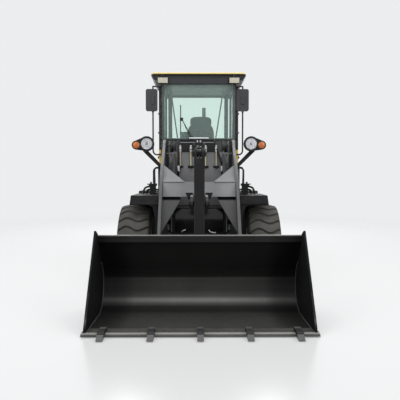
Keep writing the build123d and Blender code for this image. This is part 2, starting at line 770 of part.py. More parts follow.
# ================================================================ rear frame
def rear_frame():
    """The chassis from the articulation to the counterweight."""
    inner, outer = chassis_in, chassis_in + chassis_t
    side_plate = poly(
        (chassis_front_s, 430), (chassis_front_s, chassis_top_z), (chassis_back_s, chassis_top_z),
        (chassis_back_s, chassis_low_z - 100), (rear_axle_s + 350, chassis_low_z - 100),
        (rear_axle_s + 250, chassis_low_z), (rear_axle_s - 300, chassis_low_z), (1900, 430))
    body = both(lambda side: plate(side_plate, side * inner, side * outer))
    for z0, z1 in ((430, 560), (830, chassis_top_z)):
        body += box(-outer, outer, chassis_front_s - 40, chassis_front_s, z0, z1)
    # a deck behind the articulation and the cross members
    body += box(-inner, inner, chassis_front_s - 40, 1900, chassis_top_z - 24, chassis_top_z)
    body += box(-inner, inner, steer_barrel_rear, steer_barrel_rear + 60, 430, chassis_top_z)
    body += box(-inner, inner, chassis_front_s - 40, steer_barrel_rear, 430, 454)
    body += box(-inner, inner, rear_axle_s - 110, rear_axle_s + 110, chassis_low_z, chassis_low_z + 30)
    body += box(-inner, inner, chassis_back_s - 30, chassis_back_s, chassis_low_z - 100, chassis_top_z)
    # forks round the front frame's ears, and the hinge pins
    for z in (ear_low_z, ear_high_z):
        for low in (z - ear_t / 2 - ear_gap - 25, z + ear_t / 2 + ear_gap):
            fork = Pos(0, hinge_s) * Circle(hinge_eye_r)
            fork += Polygon((-hinge_eye_r, hinge_s), (hinge_eye_r, hinge_s), (140, chassis_front_s - 35),
                            (-140, chassis_front_s - 35), align=None)
            body += deck(fork, low, low + 25)
        body += rod_z(0, hinge_s, hinge_pin_r, z - ear_t / 2 - ear_gap - 30, z + ear_t / 2 + ear_gap + 30)
    return body


write("rear_frame", rear_frame())


def counterweight():
    """The cast weight across the back, with a pocket for the hitch."""
    back = rear_end_s - lamp_proud
    shape = Polygon((-weight_half, weight_front_s), (weight_half, weight_front_s), (weight_half, back - 160),
                    (weight_half - 160, back), (-weight_half + 160, back), (-weight_half, back - 160),
                    align=None)
    body = deck(shape, weight_low_z, weight_top_z)
    return body - box(-130, 130, back - 90, back + 1, weight_low_z - 1, weight_top_z + 1)


hitch_s = rear_end_s - 45
hitch_pin_r = 20


def tow_hitch():
    """Two jaws and their root, bored for an upright towing pin."""
    back = rear_end_s - lamp_proud
    body = box(-70, 70, back - 90, back - 62, weight_low_z + 30, weight_low_z + 190)
    for z in (weight_low_z + 50, weight_low_z + 150):
        body += box(-60, 60, back - 64, rear_end_s, z, z + 22)
    return body - rod_z(0, hitch_s, hitch_pin_r, weight_low_z, weight_low_z + 240)


write("counterweight", counterweight())
write("tow_hitch", tow_hitch())
write("tail_lamps", both(lambda side: box(side * 500, side * 620, rear_end_s - lamp_proud, rear_end_s,
                                          weight_top_z - 110, weight_top_z - 40)))
write("engine_block", box(-260, 260, 2480, 3150, 790, 1560))
write("radiator_core", box(-330, 330, 3230, 3290, 1010, 1720))


def rear_fenders():
    """Mudguards over the rear tyres, on brackets from the chassis."""
    inner = track / 2 - tyre_section / 2 - 33
    outer = track / 2 + tread_width / 2
    skin = fender_skin
    low, top = tyre_od + 45, tyre_od + 120
    over = poly((1790, low), (1850, top), (2820, top), (2930, low), (2918, low - 8), (2814, top - skin),
                (1856, top - skin), (1800, low - 8))

    def one(side):
        body = plate(over, side * inner, side * outer)
        web = poly((1858, top - skin), (2812, top - skin), (2600, 900), (2100, 900))
        body += plate(web, side * inner, side * (inner + 18))
        for s in (2140, 2540):
            body += box(side * (chassis_in + chassis_t), side * (inner + 5), s, s + 60, 910, 960)
        return body
    return both(one)


write("rear_fenders", rear_fenders())


def side_tanks():
    """Fuel tank and oil tank beside the chassis, each with two steps."""
    def one(side):
        inner, outer = chassis_in + chassis_t, 790
        body = box(side * inner, side * outer, 1330, 1770, 480, 1120)
        body -= box(side * (outer - 150), side * (outer + 1), 1380, 1720, 640, 800)
        body -= box(side * (outer - 150), side * (outer + 1), 1380, 1720, 900, 1121)
        body += box(side * (outer - 40), side * (outer + 20), 1380, 1720, 600, 640)
        return body
    return both(one)


write("side_tanks", side_tanks())


# ================================================================ cab
front_in = cab_front_s + cab_post
rear_in = cab_rear_s - cab_post
quarter_front = door_post_s + door_post_w


def cab_floor():
    """The floor pan and its four mounts on the chassis."""
    body = box(-cab_half, cab_half, cab_front_s, cab_rear_s, cab_floor_z - cab_floor_t, cab_floor_z)
    for s in (1420, 2120):
        for side in (1, -1):
            body += box(side * chassis_in, side * (chassis_in + 30), s, s + 60, chassis_top_z,
                        cab_floor_z - cab_floor_t)
    return body


def end_frame(s0, s1, half, post, window_low):
    """A front or rear frame of the cab with its window opening."""
    body = box(-half, half, s0, s1, cab_floor_z, cab_top_z)
    return body - box(-half + post, half - post, s0 - 1, s1 + 1, window_low, header_z)


def quarter(side, thick, sink):
    """The top view of a slanting quarter panel, or of the pane in its middle."""
    x0, x1 = cab_half - sink, cab_rear_half - sink
    return Polygon((side * x0, quarter_front), (side * x1, rear_in), (side * (x1 - thick), rear_in),
                   (side * (x0 - thick), quarter_front), align=None)


def cab_sides():
    """Sill, roof rail, door post and slanting rear quarter of both sides."""
    def one(side):
        inner, outer = side * (cab_half - cab_wall), side * cab_half
        body = box(inner, outer, front_in, quarter_front, cab_floor_z, cab_top_z)
        body -= box(side * (cab_half - cab_wall - 1), side * (cab_half + 1), front_in + 15, door_post_s,
                    cab_floor_z + 80, cab_top_z - 60)
        body += deck(quarter(side, cab_wall, 0), cab_floor_z, cab_top_z)
        return body - box(side * 400, side * (cab_half + 1), quarter_front, rear_in - 15,
                          door_window_low_z, cab_top_z - 60)
    return both(one)


def cab_glass():
    """Windscreen, rear window and quarter windows."""
    body = box(-cab_half + 5, cab_half - 5, cab_front_s - glass_t, cab_front_s, windscreen_low_z - 30,
               header_z + 20)
    rear = cab_rear_half - cab_rear_post
    body += box(-rear, rear, cab_rear_s - 20 - glass_t, cab_rear_s - 20, rear_window_low_z, header_z)

    def side_pane(side):
        pane = deck(quarter(side, glass_t, cab_wall / 2), door_window_low_z, cab_top_z - 60)
        return pane & box(0, side * cab_half, quarter_front, rear_in - 15, 0, cab_top_z)
    return body + both(side_pane)


def roof_liner():
    """The roof's dark body, with sides that slant in under the skin's edge."""
    sides = Polygon((-roof_half + 8, cab_top_z + roof_liner_t), (roof_half - 8, cab_top_z + roof_liner_t),
                    (roof_half - 45, roof_edge_z), (-roof_half + 45, roof_edge_z), align=None)
    body = extrude(Plane.XZ.offset(-roof_back_s + 30) * sides, amount=roof_back_s - roof_front_s - 50,
                   dir=(0, -1, 0))
    body = fillet(body.edges().filter_by(Axis.Y, reverse=True).filter_by(
        lambda e: abs(e.tangent_at(0).Z) > 0.7), 70)
    return body + box(-cab_half, cab_half, cab_front_s, cab_rear_s, cab_top_z, roof_edge_z)


def cab_roof():
    """The roof's thin painted skin with its rounded edges."""
    low = cab_top_z + roof_liner_t
    slab = box(-roof_half, roof_half, roof_front_s, roof_back_s, low, low + roof_skin_t)
    slab = fillet(slab.edges().filter_by(Axis.Z), 90)
    return fillet(slab.faces().sort_by(Axis.Z)[-1].edges(), 25)


write("cab_floor", cab_floor())
write("cab_front", end_frame(cab_front_s, front_in, cab_half, cab_front_post, windscreen_low_z))
write("cab_rear", end_frame(rear_in, cab_rear_s, cab_rear_half, cab_rear_post, rear_window_low_z))
write("cab_sides", cab_sides())
write("cab_glass", cab_glass())
write("roof_liner", roof_liner())
write("cab_roof", cab_roof())

# ---------------------------------------------------------------- doors
door_in = cab_half + panel_gap
door_out = door_in + door_t
door_front = front_in + 15 - door_lap
door_back = door_post_s + door_lap
door_low = cab_floor_z + 80 - door_lap
door_top = cab_top_z - 60 + door_lap


def door(side):
    """A door as thick as its skin and frame, with the window cut."""
    body = box(side * door_in, side * door_out, door_front, door_back, door_low, door_top)
    return body - box(side * (door_in - 1), side * (door_out + 1), door_front + door_rail,
                      door_back - door_rail, door_window_low_z, door_top - door_rail)


def door_glass(side):
    """The pane in a door."""
    mid = (door_in + door_out) / 2
    return box(side * (mid - glass_t / 2), side * (mid + glass_t / 2), door_front + door_rail,
               door_back - door_rail, door_window_low_z, door_top - door_rail)


for name, side in (("left", 1), ("right", -1)):
    write(f"door_{name}", door(side))
    write(f"door_{name}_glass", door_glass(side))


# ---------------------------------------------------------------- inside the cab
def operator_seat():
    """A suspension box, cushion and back."""
    middle = 20
    body = box(middle - 190, middle + 190, 1600, 1960, cab_floor_z, 1560)
    body += box(middle - 235, middle + 235, 1500, 1980, 1560, 1680)
    back = poly((1920, 1640), (2020, 1640), (2080, 2300), (1990, 2300))
    body += plate(back, middle - 225, middle + 225)
    head = poly((2000, 2250), (2070, 2250), (2085, 2430), (2010, 2430))
    body += plate(head, middle - 180, middle + 185)
    return body


def cab_console():
    """Dash, steering column and wheel, and the lever stand."""
    body = box(-300, 300, front_in, front_in + 130, cab_floor_z, 1900)
    column = bar((0, front_in + 120, 1700), (0, front_in + 300, 2060), 32)
    wheel = Plane(origin=(0, front_in + 300, 2060), z_dir=(0, 180, 360)) * Torus(190, 14)
    spoke = Plane(origin=(0, front_in + 300, 2060), z_dir=(0, 180, 360)) * Box(380, 30, 14)
    body += column + wheel + spoke
    body += box(-380, -300, 1620, 1900, cab_floor_z, 1720)
    body += bar((-340, 1660, 1715), (-340, 1630, 1860), 12) + Pos(-340, 1630, 1870) * Sphere(24)
    return body


write("operator_seat", operator_seat())
write("cab_console", cab_console())


mirror_low_z = 2397
mirror_high_z = 2721
# (side, inner edge of the mirror, outer edge, its rod)
mirror_sets = [(1, 556, 741, 652), (-1, 608, 780, 675)]


def mirrors():
    """Wide mirrors on arms from the front posts."""
    body = Part()
    for side, inner, outer, rod in mirror_sets:
        head = box(side * inner, side * outer, 985, 1020, mirror_low_z, mirror_high_z)
        body += fillet(head.edges().filter_by(Axis.Y), 30)
        body += bar((side * cab_half, 1000, 2760), (side * rod, 1000, 2760), 11)
        body += bar((side * rod, 1000, 2765), (side * rod, 1000, 2700), 11)
    return body


def handrails():
    """Long grab rods up to the mirrors, and loops beside the cab's front."""
    body = Part()
    for side, inner, outer, rod in mirror_sets:
        body += tube_path([(side * cab_half, 1004, 1756), (side * rod, 1004, 1756),
                           (side * rod, 1004, mirror_low_z - 1)], 60, 11)
        body += tube_path([(side * cab_half, 1010, 1240), (side * 670, 1010, 1240),
                           (side * 670, 1010, 1560), (side * cab_half, 1010, 1560)], 50, 12)
    return body


def work_lamps():
    """Lamps under the roof's corners, two to the front and two to the rear."""
    def one(side):
        lamp = box(side * 445, side * 598, roof_front_s - 30, roof_front_s + 20, 2790, 2874)
        return lamp + box(side * 445, side * 598, roof_back_s - 30, roof_back_s + 20, 2790, 2874)
    return both(one)


write("mirrors", mirrors())
write("handrails", handrails())
write("work_lamps", work_lamps())


# ================================================================ hood
def hood_block(inset):
    """The hood's outer form, or the room inside it for an inset of its wall."""
    back = hood_back_s - inset
    top = hood_top_z - inset
    low = hood_low_z - (1 if inset else 0)
    front = hood_front_s - (1 if inset else 0)
    outline = poly((front, low), (front, top), (back - hood_slope, top - hood_slope), (back, hood_low_z + 500),
                   (back, low))
    return plate(outline, -hood_half + inset, hood_half - inset)


def engine_hood():
    """The one-piece hood, open below and to the front, with its grille opening."""
    body = hood_block(0) - hood_block(hood_wall)
    return body - box(-grille_half, grille_half, hood_back_s - hood_wall - 5, hood_back_s + 1,
                      grille_low, grille_high)


def rear_grille():
    """A slatted panel in the hood's back."""
    s0, s1 = hood_back_s - hood_wall, hood_back_s - 2
    body = box(-grille_half, grille_half, s0, s1, grille_low, grille_high)
    slots = 7
    pitch = (grille_high - grille_low) / slots
    for i in range(slots):
        z = grille_low + pitch * (i + 0.5)
        body -= box(-grille_half + 30, grille_half - 30, s0 - 1, s1 + 1, z - pitch * 0.28, z + pitch * 0.28)
    return body


def exhaust_stack():
    """A straight exhaust pipe above its silencer, on the hood."""
    foot_z = hood_top_z - hood_slope
    body = rod_z(stack_x, stack_s, 34, foot_z, stack_top_z) + rod_z(stack_x, stack_s, 60, foot_z, foot_z + 320)
    return body - rod_z(stack_x, stack_s, 28, foot_z + 340, stack_top_z + 1) - hood_block(0)


def air_precleaner():
    """A round bowl precleaner on its intake pipe."""
    foot_z = hood_top_z - hood_slope
    body = rod_z(cleaner_x, cleaner_s, 45, foot_z, hood_top_z + 140)
    body += rod_z(cleaner_x, cleaner_s, 110, hood_top_z + 130, hood_top_z + 280)
    return body - hood_block(0)


write("engine_hood", engine_hood())
write("rear_grille", rear_grille())
write("exhaust_stack", exhaust_stack())
write("air_precleaner", air_precleaner())
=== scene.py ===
"""Looks of a compact articulated wheel loader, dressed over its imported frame.

Blender's units are metres, +Z up.  The machine faces -Y and +X is the driver's left.  Pieces are given in
millimetres as (x, s, z), where s runs back from the front axle.
"""
import json
import random
from math import copysign, cos, exp, hypot, pi, radians, sin

import bmesh
import bpy
from mathutils import Matrix, Vector


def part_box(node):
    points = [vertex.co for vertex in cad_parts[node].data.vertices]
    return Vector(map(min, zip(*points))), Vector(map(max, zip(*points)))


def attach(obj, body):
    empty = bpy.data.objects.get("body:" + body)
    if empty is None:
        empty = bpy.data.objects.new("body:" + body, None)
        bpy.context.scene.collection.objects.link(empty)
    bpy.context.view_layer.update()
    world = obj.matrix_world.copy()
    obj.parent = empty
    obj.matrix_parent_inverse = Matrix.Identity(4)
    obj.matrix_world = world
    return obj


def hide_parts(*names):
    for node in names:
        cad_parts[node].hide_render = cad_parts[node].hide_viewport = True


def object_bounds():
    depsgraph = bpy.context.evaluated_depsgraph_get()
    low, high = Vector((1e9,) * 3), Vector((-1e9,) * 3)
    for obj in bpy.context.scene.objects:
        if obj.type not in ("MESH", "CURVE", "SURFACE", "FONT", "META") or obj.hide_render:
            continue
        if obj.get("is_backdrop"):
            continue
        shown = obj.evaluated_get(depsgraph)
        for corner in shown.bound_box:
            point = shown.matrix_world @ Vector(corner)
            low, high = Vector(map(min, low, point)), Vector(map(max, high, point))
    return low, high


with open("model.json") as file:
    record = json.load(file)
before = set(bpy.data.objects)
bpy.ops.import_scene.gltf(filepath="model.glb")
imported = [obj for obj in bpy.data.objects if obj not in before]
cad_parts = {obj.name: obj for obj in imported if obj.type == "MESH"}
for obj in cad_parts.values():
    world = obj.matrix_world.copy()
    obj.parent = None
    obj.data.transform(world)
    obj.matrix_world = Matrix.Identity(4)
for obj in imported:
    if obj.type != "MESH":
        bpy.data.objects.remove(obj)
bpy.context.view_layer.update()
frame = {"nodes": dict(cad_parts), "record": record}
NODES = frame["nodes"]
AXLE_Y = (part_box("tyre_front_left")[0].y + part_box("tyre_front_left")[1].y) / 2
SIDES = (("left", 1), ("right", -1))
BOTH = (1, -1)
MIDDLE = Vector((0, 0, 1.2))
WHEEL_RADIUS, HALF_TRACK, WHEELBASE = 537.5, 800, 2350
# pivots in the side view, in millimetres: station, height
BOOM_PIVOT, LEVER_TOP, LEVER_HUB, LEVER_FOOT = (420, 1820), (-470, 1710), (-541, 1109), (-700, 390)
LIFT_CYLINDER, TILT_CYLINDER = ((650, 660), (100, 1437)), (BOOM_PIVOT, LEVER_TOP)
TOOTH_PLACES = (-880, -440, 0, 440, 880)
random.seed(7)


def linked(name, data):
    """A new object in the scene."""
    obj = bpy.data.objects.new(name, data)
    bpy.context.scene.collection.objects.link(obj)
    return obj


# ======== nodes
def feed(tree, socket, value):
    """Set an input to a value, or wire another node's output to it."""
    if isinstance(value, bpy.types.NodeSocket):
        tree.links.new(value, socket)
    else:
        socket.default_value = value


def add(tree, kind, **values):
    """One node with its properties set and its inputs set or wired."""
    node = tree.nodes.new("ShaderNode" + kind)
    for key, value in values.items():
        if key in node.inputs:
            feed(tree, node.inputs[key], value)
        else:
            setattr(node, key, value)
    return node


def maths(tree, operation, first, second=0.0):
    """The result of one operation on two sockets or numbers."""
    node = add(tree, "Math", operation=operation)
    feed(tree, node.inputs[0], first)
    feed(tree, node.inputs[1], second)
    return node.outputs[0]


def set_inputs(node, values):
    """Give inputs their values by name."""
    for name, value in values.items():
        node.inputs[name].default_value = value


def stretch(tree, value, low, high, to_low=0.0, to_high=1.0):
    """A socket's value carried from one range to another."""
    node = add(tree, "MapRange", Value=value)
    set_inputs(node, {"From Min": low, "From Max": high, "To Min": to_low, "To Max": to_high})
    return node.outputs["Result"]


def mix_shaders(tree, share, first, second, out):
    """Mix two shaders by a share and send the result to the output node."""
    mix = add(tree, "MixShader", Fac=share)
    tree.links.new(first.outputs[0], mix.inputs[1])
    tree.links.new(second.outputs[0], mix.inputs[2])
    tree.links.new(mix.outputs[0], out.inputs["Surface"])


def new_material(name):
    """A node material with its tree and its shader."""
    mat = bpy.data.materials.new(name)
    mat.use_nodes = True
    return mat, mat.node_tree, mat.node_tree.nodes["Principled BSDF"]


# ======== camera, light, stage
def camera():
    """A long lens low in front of the machine, turned a little to its left."""
    data = bpy.data.cameras.new("camera")
    data.sensor_width = 36.0
    data.lens = 45.4
    obj = linked("camera", data)
    obj.location = (-0.040, AXLE_Y - 6.517, 1.435)
    obj.rotation_euler = (radians(90 - 2.684), 0, radians(-0.46))
    bpy.context.scene.camera = obj


def lamp(name, place, size, watts):
    """A square soft light that looks at the machine's middle."""
    data = bpy.data.lights.new(name, "AREA")
    data.shape = "SQUARE"
    data.size = size
    data.energy = watts
    obj = linked(name, data)
    obj.location = place
    obj.rotation_euler = (MIDDLE - Vector(place)).to_track_quat("-Z", "Y").to_euler()


def seen_rays(tree):
    """One for rays that show the surroundings, straight, mirrored or through glass."""
    path = add(tree, "LightPath")
    result = path.outputs["Is Camera Ray"]
    for kind in ("Is Transmission Ray", "Is Glossy Ray"):
        result = maths(tree, "MAXIMUM", result, path.outputs[kind])
    return result


def studio():
    """Soft studio light and a pale surrounding."""
    lamp("key_top", (0.0, -2.0, 7.5), 6.0, 420)
    lamp("front_left", (5.5, -7.5, 4.2), 4.0, 230)
    lamp("front_right", (-5.5, -7.5, 4.2), 4.0, 230)
    lamp("back", (0.0, 7.5, 5.0), 5.0, 300)
    world = bpy.data.worlds.new("studio")
    bpy.context.scene.world = world
    world.use_nodes = True
    tree = world.node_tree
    tree.nodes.clear()
    seen = add(tree, "Background", Color=(0.84, 0.85, 0.86, 1))
    lit = add(tree, "Background", Color=(0.95, 0.97, 1.0, 1), Strength=0.55)
    mix_shaders(tree, seen_rays(tree), lit, seen, add(tree, "OutputWorld"))


def floor():
    """The studio floor, which fades into the surrounding with the distance from its middle."""
    mesh = bpy.data.meshes.new("floor")
    half = 40
    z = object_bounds()[0][2]
    mesh.from_pydata([(x * half, y * half, z) for x, y in ((-1, -1), (1, -1), (1, 1), (-1, 1))], [],
        [(0, 1, 2, 3)])
    obj = linked("floor", mesh)
    mat, tree, shader = new_material("floor")
    set_inputs(shader, {"Base Color": (0.42, 0.42, 0.42, 1), "Roughness": 0.22, "Specular IOR Level": 0.5,
        "Emission Color": (1, 1, 1, 1)})
    feed(tree, shader.inputs["Emission Strength"], maths(tree, "MULTIPLY", seen_rays(tree), 0.26))
    far = add(tree, "VectorMath", operation="LENGTH")
    tree.links.new(add(tree, "TexCoord").outputs["Object"], far.inputs[0])
    fade = stretch(tree, far.outputs["Value"], 5.0, 14.0)
    fade.node.interpolation_type = "SMOOTHSTEP"
    mix_shaders(tree, fade, shader, add(tree, "BsdfTransparent"), tree.nodes["Material Output"])
    mesh.materials.append(mat)
    obj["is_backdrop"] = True


bpy.context.scene.view_settings.view_transform = "Standard"
camera()
studio()
floor()


# ======== materials
MAT = {}
DUST = (0.36, 0.33, 0.29, 1.0)


def shade(colour, factor):
    """A colour made lighter or darker."""
    return tuple(min(1.0, c * factor) for c in colour[:3]) + (1.0,)


def noise_ramp(tree, coords, scale, low, high):
    """A noise texture stretched between two levels."""
    tex = add(tree, "TexNoise", Vector=coords, Scale=scale, Detail=4.0, Roughness=0.6)
    return stretch(tree, tex.outputs["Fac"], 0.3, 0.7, low, high)


def mix_colour(tree, factor, first, second, how="MIX"):
    """A colour mix whose inputs may be sockets or values."""
    node = add(tree, "Mix", data_type="RGBA", blend_type=how)
    feed(tree, node.inputs["Factor"], factor)
    for name, value in (("A", first), ("B", second)):
        feed(tree, next(i for i in node.inputs if i.name == name and i.type == "RGBA"), value)
    return next(o for o in node.outputs if o.type == "RGBA")


def banded(tree, where, base, bands, inside):
    """A colour scaled by ramps along the object's axes, and another on faces that look back or down."""
    parts = add(tree, "SeparateXYZ", Vector=where)
    for axis, stops in bands:
        low, high = stops[0][0], stops[-1][0]
        along = maths(tree, "ABSOLUTE", parts.outputs[axis])
        ramp_node = add(tree, "ValToRGB", Fac=stretch(tree, along, low / 1000, high / 1000))
        elements = ramp_node.color_ramp.elements
        while len(elements) < len(stops):
            elements.new(0.5)
        for element, stop in zip(elements, stops):
            element.position = (stop[0] - low) / (high - low)
        for element, stop in zip(elements, stops):
            element.color = (stop[1], stop[1], stop[1], 1)
        base = mix_colour(tree, 1.0, base, ramp_node.outputs["Color"], "MULTIPLY")
    if inside is not None:
        facing = add(tree, "SeparateXYZ", Vector=where.node.outputs["Normal"])
        open_side = maths(tree, "SUBTRACT", facing.outputs["Z"], facing.outputs["Y"])
        base = mix_colour(tree, stretch(tree, open_side, 0.1, 0.3), inside, base)
    return base


def surface(name, colour, rough=0.45, metal=0.0, coat=0.0, spread=0.12, grain=60.0, bump=0.05, dust=0.0,
            wear=0.0, rough_spread=0.08, specular=0.5, bands=(), inside=None):
    """Paint, plastic or metal with colour drift, fine grain, settled dust, worn edges and colour bands.

    Bands are (axis, [(millimetres along it, share of the colour)]); on some paints they are painted shade,
    painted shadow and painted reflection, on others two-tone paint.  Where inside is given, they show only
    on faces that look forward or up, and the other faces take inside as their colour.
    """
    mat, tree, shader = new_material(name)
    geo = add(tree, "NewGeometry")
    where = add(tree, "TexCoord").outputs["Object"]
    drift = noise_ramp(tree, where, 2.3, 0.0, 1.0)
    base = mix_colour(tree, drift, shade(colour, 1 - spread), shade(colour, 1 + spread))
    if bands:
        base = banded(tree, where, base, bands, inside)
    if dust:
        parts = add(tree, "SeparateXYZ", Vector=geo.outputs["Normal"])
        up = stretch(tree, parts.outputs["Z"], 0.2, 1.0, 0.0, dust)
        amount = maths(tree, "MULTIPLY", up, noise_ramp(tree, where, 9.0, 0.35, 1.0))
        base = mix_colour(tree, amount, base, DUST)
    if wear:
        edge = stretch(tree, geo.outputs["Pointiness"], 0.52, 0.60, 0.0, wear)
        base = mix_colour(tree, edge, base, shade(colour, 2.2))
    tree.links.new(base, shader.inputs["Base Color"])
    set_inputs(shader, {"Roughness": rough, "Metallic": metal, "Coat Weight": coat, "Coat Roughness": 0.15,
        "Specular IOR Level": specular})
    if rough_spread:
        uneven = noise_ramp(tree, where, 14.0, rough - rough_spread, rough + rough_spread)
        tree.links.new(uneven, shader.inputs["Roughness"])
    if bump:
        tex = add(tree, "TexNoise", Vector=where, Scale=grain * 10, Detail=3.0)
        relief = add(tree, "Bump", Strength=bump, Distance=0.002, Height=tex.outputs["Fac"])
        tree.links.new(relief.outputs["Normal"], shader.inputs["Normal"])
    MAT[name] = mat


def glass(name, tint, veil, share):
    """Glazing that tints the view through it, under a thin veil of reflection and dust."""
    mat, tree, shader = new_material(name)
    where = add(tree, "TexCoord").outputs["Object"]
    base = mix_colour(tree, noise_ramp(tree, where, 1.2, 0.0, 1.0), shade(veil, 0.93), shade(veil, 1.06))
    tree.links.new(base, shader.inputs["Base Color"])
    shader.inputs["Roughness"].default_value = 0.03
    clear = add(tree, "BsdfTransparent", Color=tint + (1.0,))
    mix_shaders(tree, share, clear, shader, tree.nodes["Material Output"])
    MAT[name] = mat


# The arm grey darkens towards the bottom through its Z bands, as painted shade on the arms below the
# crossbeam.
surface("arm_paint", (0.155, 0.156, 0.158), 0.40, dust=0.02, wear=0.10, specular=0.25, bands=[("Z",
    [(300, 0.18), (1000, 0.20), (1200, 0.20), (1350, 0.32), (1450, 0.45), (1600, 0.80), (1700, 1.0),
    (1900, 1.0)])])
# A lighter copy of the arm grey, as painted light on the crossbeam's front face; its Z bands add painted
# shade on the gussets below and above the beam and a painted shadow band just under it.
surface("beam_grey_painted_light_and_shade", (0.285, 0.286, 0.29), 0.40, specular=0.3, bands=[("Z", [(700, 0.12), (1150, 0.12),
    (1152, 0.06), (1183, 0.06), (1185, 1.0), (1365, 1.0), (1368, 0.60), (1900, 0.60)])])
# Its Z bands paint reflection bands into the bucket, brightest low in the curve of the back, and its X bands
# darken it towards the side plates as painted shade; faces that look back or down keep the plain near-black
# paint.
surface("bucket_paint", (0.21, 0.21, 0.20), 0.55, specular=0.10, inside=(0.008, 0.008, 0.008, 1), bump=0.1,
    bands=[("Z", [(24, 0.17), (40, 0.06), (75, 0.09), (100, 0.38), (116, 0.72), (132, 0.85), (160, 0.30),
    (220, 0.16), (315, 0.17), (345, 0.20), (366, 0.045), (760, 0.045), (770, 0.06), (900, 0.06)]), ("X",
    [(0, 1.0), (690, 1.0), (800, 0.58), (900, 0.42), (1070, 0.35)])])
surface("roof_paint", (0.54, 0.42, 0.14), 0.45, spread=0.04, specular=0.2, bands=[("Z", [(2910, 0.03),
    (2932, 0.03), (2935, 1.0), (2960, 1.0)])])
surface("door_paint", (0.76, 0.52, 0.07), 0.35, coat=0.2, spread=0.05, specular=0.3, bands=[("Z",
    [(1100, 1.0), (1828, 1.0), (1832, 0.012), (2900, 0.012)])])
surface("lever_paint", (0.0075, 0.0075, 0.008), 0.50, specular=0.15, dust=0.02)
surface("mirror_shell", (0.031, 0.031, 0.033), 0.5, specular=0.3)
surface("black_plastic", (0.004, 0.004, 0.004), 0.6, specular=0.08, bump=0.02)
surface("rod_steel", (0.75, 0.75, 0.76), 0.12, metal=1.0, spread=0.03, bump=0.0, bands=[("Y", [(800, 1.0),
    (1120, 1.0), (1124, 0.02), (1300, 0.02)])])
surface("frame_paint", (0.010, 0.010, 0.011), 0.45, dust=0.05, specular=0.22)
surface("tower_paint", (0.150, 0.150, 0.153), 0.45, dust=0.08, specular=0.3)
surface("body_yellow", (0.76, 0.52, 0.07), 0.35, coat=0.2, spread=0.05, specular=0.3)
surface("cab_paint", (0.016, 0.017, 0.018), 0.45, specular=0.25)
glass("cab_glass", (0.935, 0.99, 0.965), (0.78, 0.95, 0.91), 0.075)
surface("tyre_rubber", (0.058, 0.056, 0.051), 0.82, dust=0.04, bump=0.2, spread=0.30, specular=0.2)
surface("rim_paint", (0.30, 0.31, 0.32), 0.40, dust=0.15, wear=0.3)
surface("edge_steel", (0.024, 0.024, 0.022), 0.50, dust=0.12, wear=0.3, specular=0.2)
surface("chrome_rod", (0.75, 0.75, 0.76), 0.12, metal=1.0, spread=0.03, bump=0.0)
surface("pipe_zinc", (0.42, 0.39, 0.25), 0.40, metal=0.4)
surface("hose_rubber", (0.008, 0.008, 0.008), 0.50, specular=0.25)
surface("fender_plastic", (0.008, 0.008, 0.009), 0.55, dust=0.03, specular=0.15)
surface("seat_fabric", (0.048, 0.056, 0.056), 0.85, bump=0.3, grain=90, specular=0.2)
surface("console_plastic", (0.028, 0.029, 0.031), 0.6, specular=0.25)
glass("lamp_lens", (0.92, 0.94, 0.95), (0.7, 0.75, 0.8), 0.25)
surface("indicator_lens", (0.42, 0.11, 0.012), 0.3, coat=0.1, spread=0.08)
surface("tail_lens", (0.55, 0.02, 0.02), 0.2, coat=0.6)
surface("work_lens", (0.40, 0.38, 0.31), 0.25, coat=0.4)
surface("engine_iron", (0.12, 0.125, 0.13), 0.6, bump=0.2)
surface("radiator_fins", (0.06, 0.06, 0.06), 0.6)
surface("edge_grey", (0.20, 0.20, 0.205), 0.35)
# Pale grey for the strips that paint highlights on the bucket's rim and cutting edge.
surface("painted_edge_highlight", (0.15, 0.15, 0.145), 0.45, wear=0.2, specular=0.3)
# Pale grey for fittings, and for the arcs that paint a highlight on the lever's top.
surface("light_fitting_and_highlight", (0.42, 0.42, 0.42), 0.35, metal=0.2)
surface("light_bracket", (0.62, 0.63, 0.64), 0.35)
surface("tooth_steel", (0.17, 0.17, 0.165), 0.42, metal=0.3, wear=0.3)
surface("lamp_bright", (0.60, 0.61, 0.63), 0.12, metal=0.2, coat=0.7, spread=0.12, grain=20, bump=0.1)
surface("lamp_centre", (0.22, 0.22, 0.23), 0.2, metal=0.6)
surface("cab_panel", (0.045, 0.046, 0.049), 0.5, specular=0.25)
surface("header_grey", (0.022, 0.022, 0.024), 0.5, specular=0.25)
surface("mirror_face", (0.72, 0.75, 0.78), 0.03, metal=1.0, bump=0.0, rough_spread=0.0)
surface("gloss_black", (0.008, 0.008, 0.008), 0.22, coat=0.2, specular=0.3)


def dress_frame():
    """Give every carried-over CAD node the node material of its slot, or its own version of it."""
    slots = {s["node"]: s["material_slot"] for s in frame["record"]["subparts"]}
    # The crossbeam takes the lighter copy of the arm grey, which carries painted light and painted shade.
    slots.update(boom_crossbeam="beam_grey_painted_light_and_shade", bucket_shell="bucket_paint", door_left="door_paint",
        door_right="door_paint", bellcrank="lever_paint", mirrors="mirror_shell",
        front_fenders="black_plastic", tilt_rod="rod_steel", cab_roof="roof_paint")
    for node, obj in NODES.items():
        obj.data.materials.clear()
        obj.data.materials.append(MAT[slots[node]])


dress_frame()


# ======== building pieces
UP = Vector((0, 0, 1))
FRONT = Vector((0, -1, 0))
BACK = Vector((0, 1, 0))
LEFT = Vector((1, 0, 0))


def at(x, s, z):
    """A point in millimetres, s measured back from the front axle."""
    return Vector((x / 1000, s / 1000 + AXLE_Y, z / 1000))


def circle(count, shift=0.0):
    """Cosines and sines of even steps round a circle, shifted by a share of a step."""
    angles = [2 * pi * (k + shift) / count for k in range(count)]
    return [(cos(a), sin(a)) for a in angles]


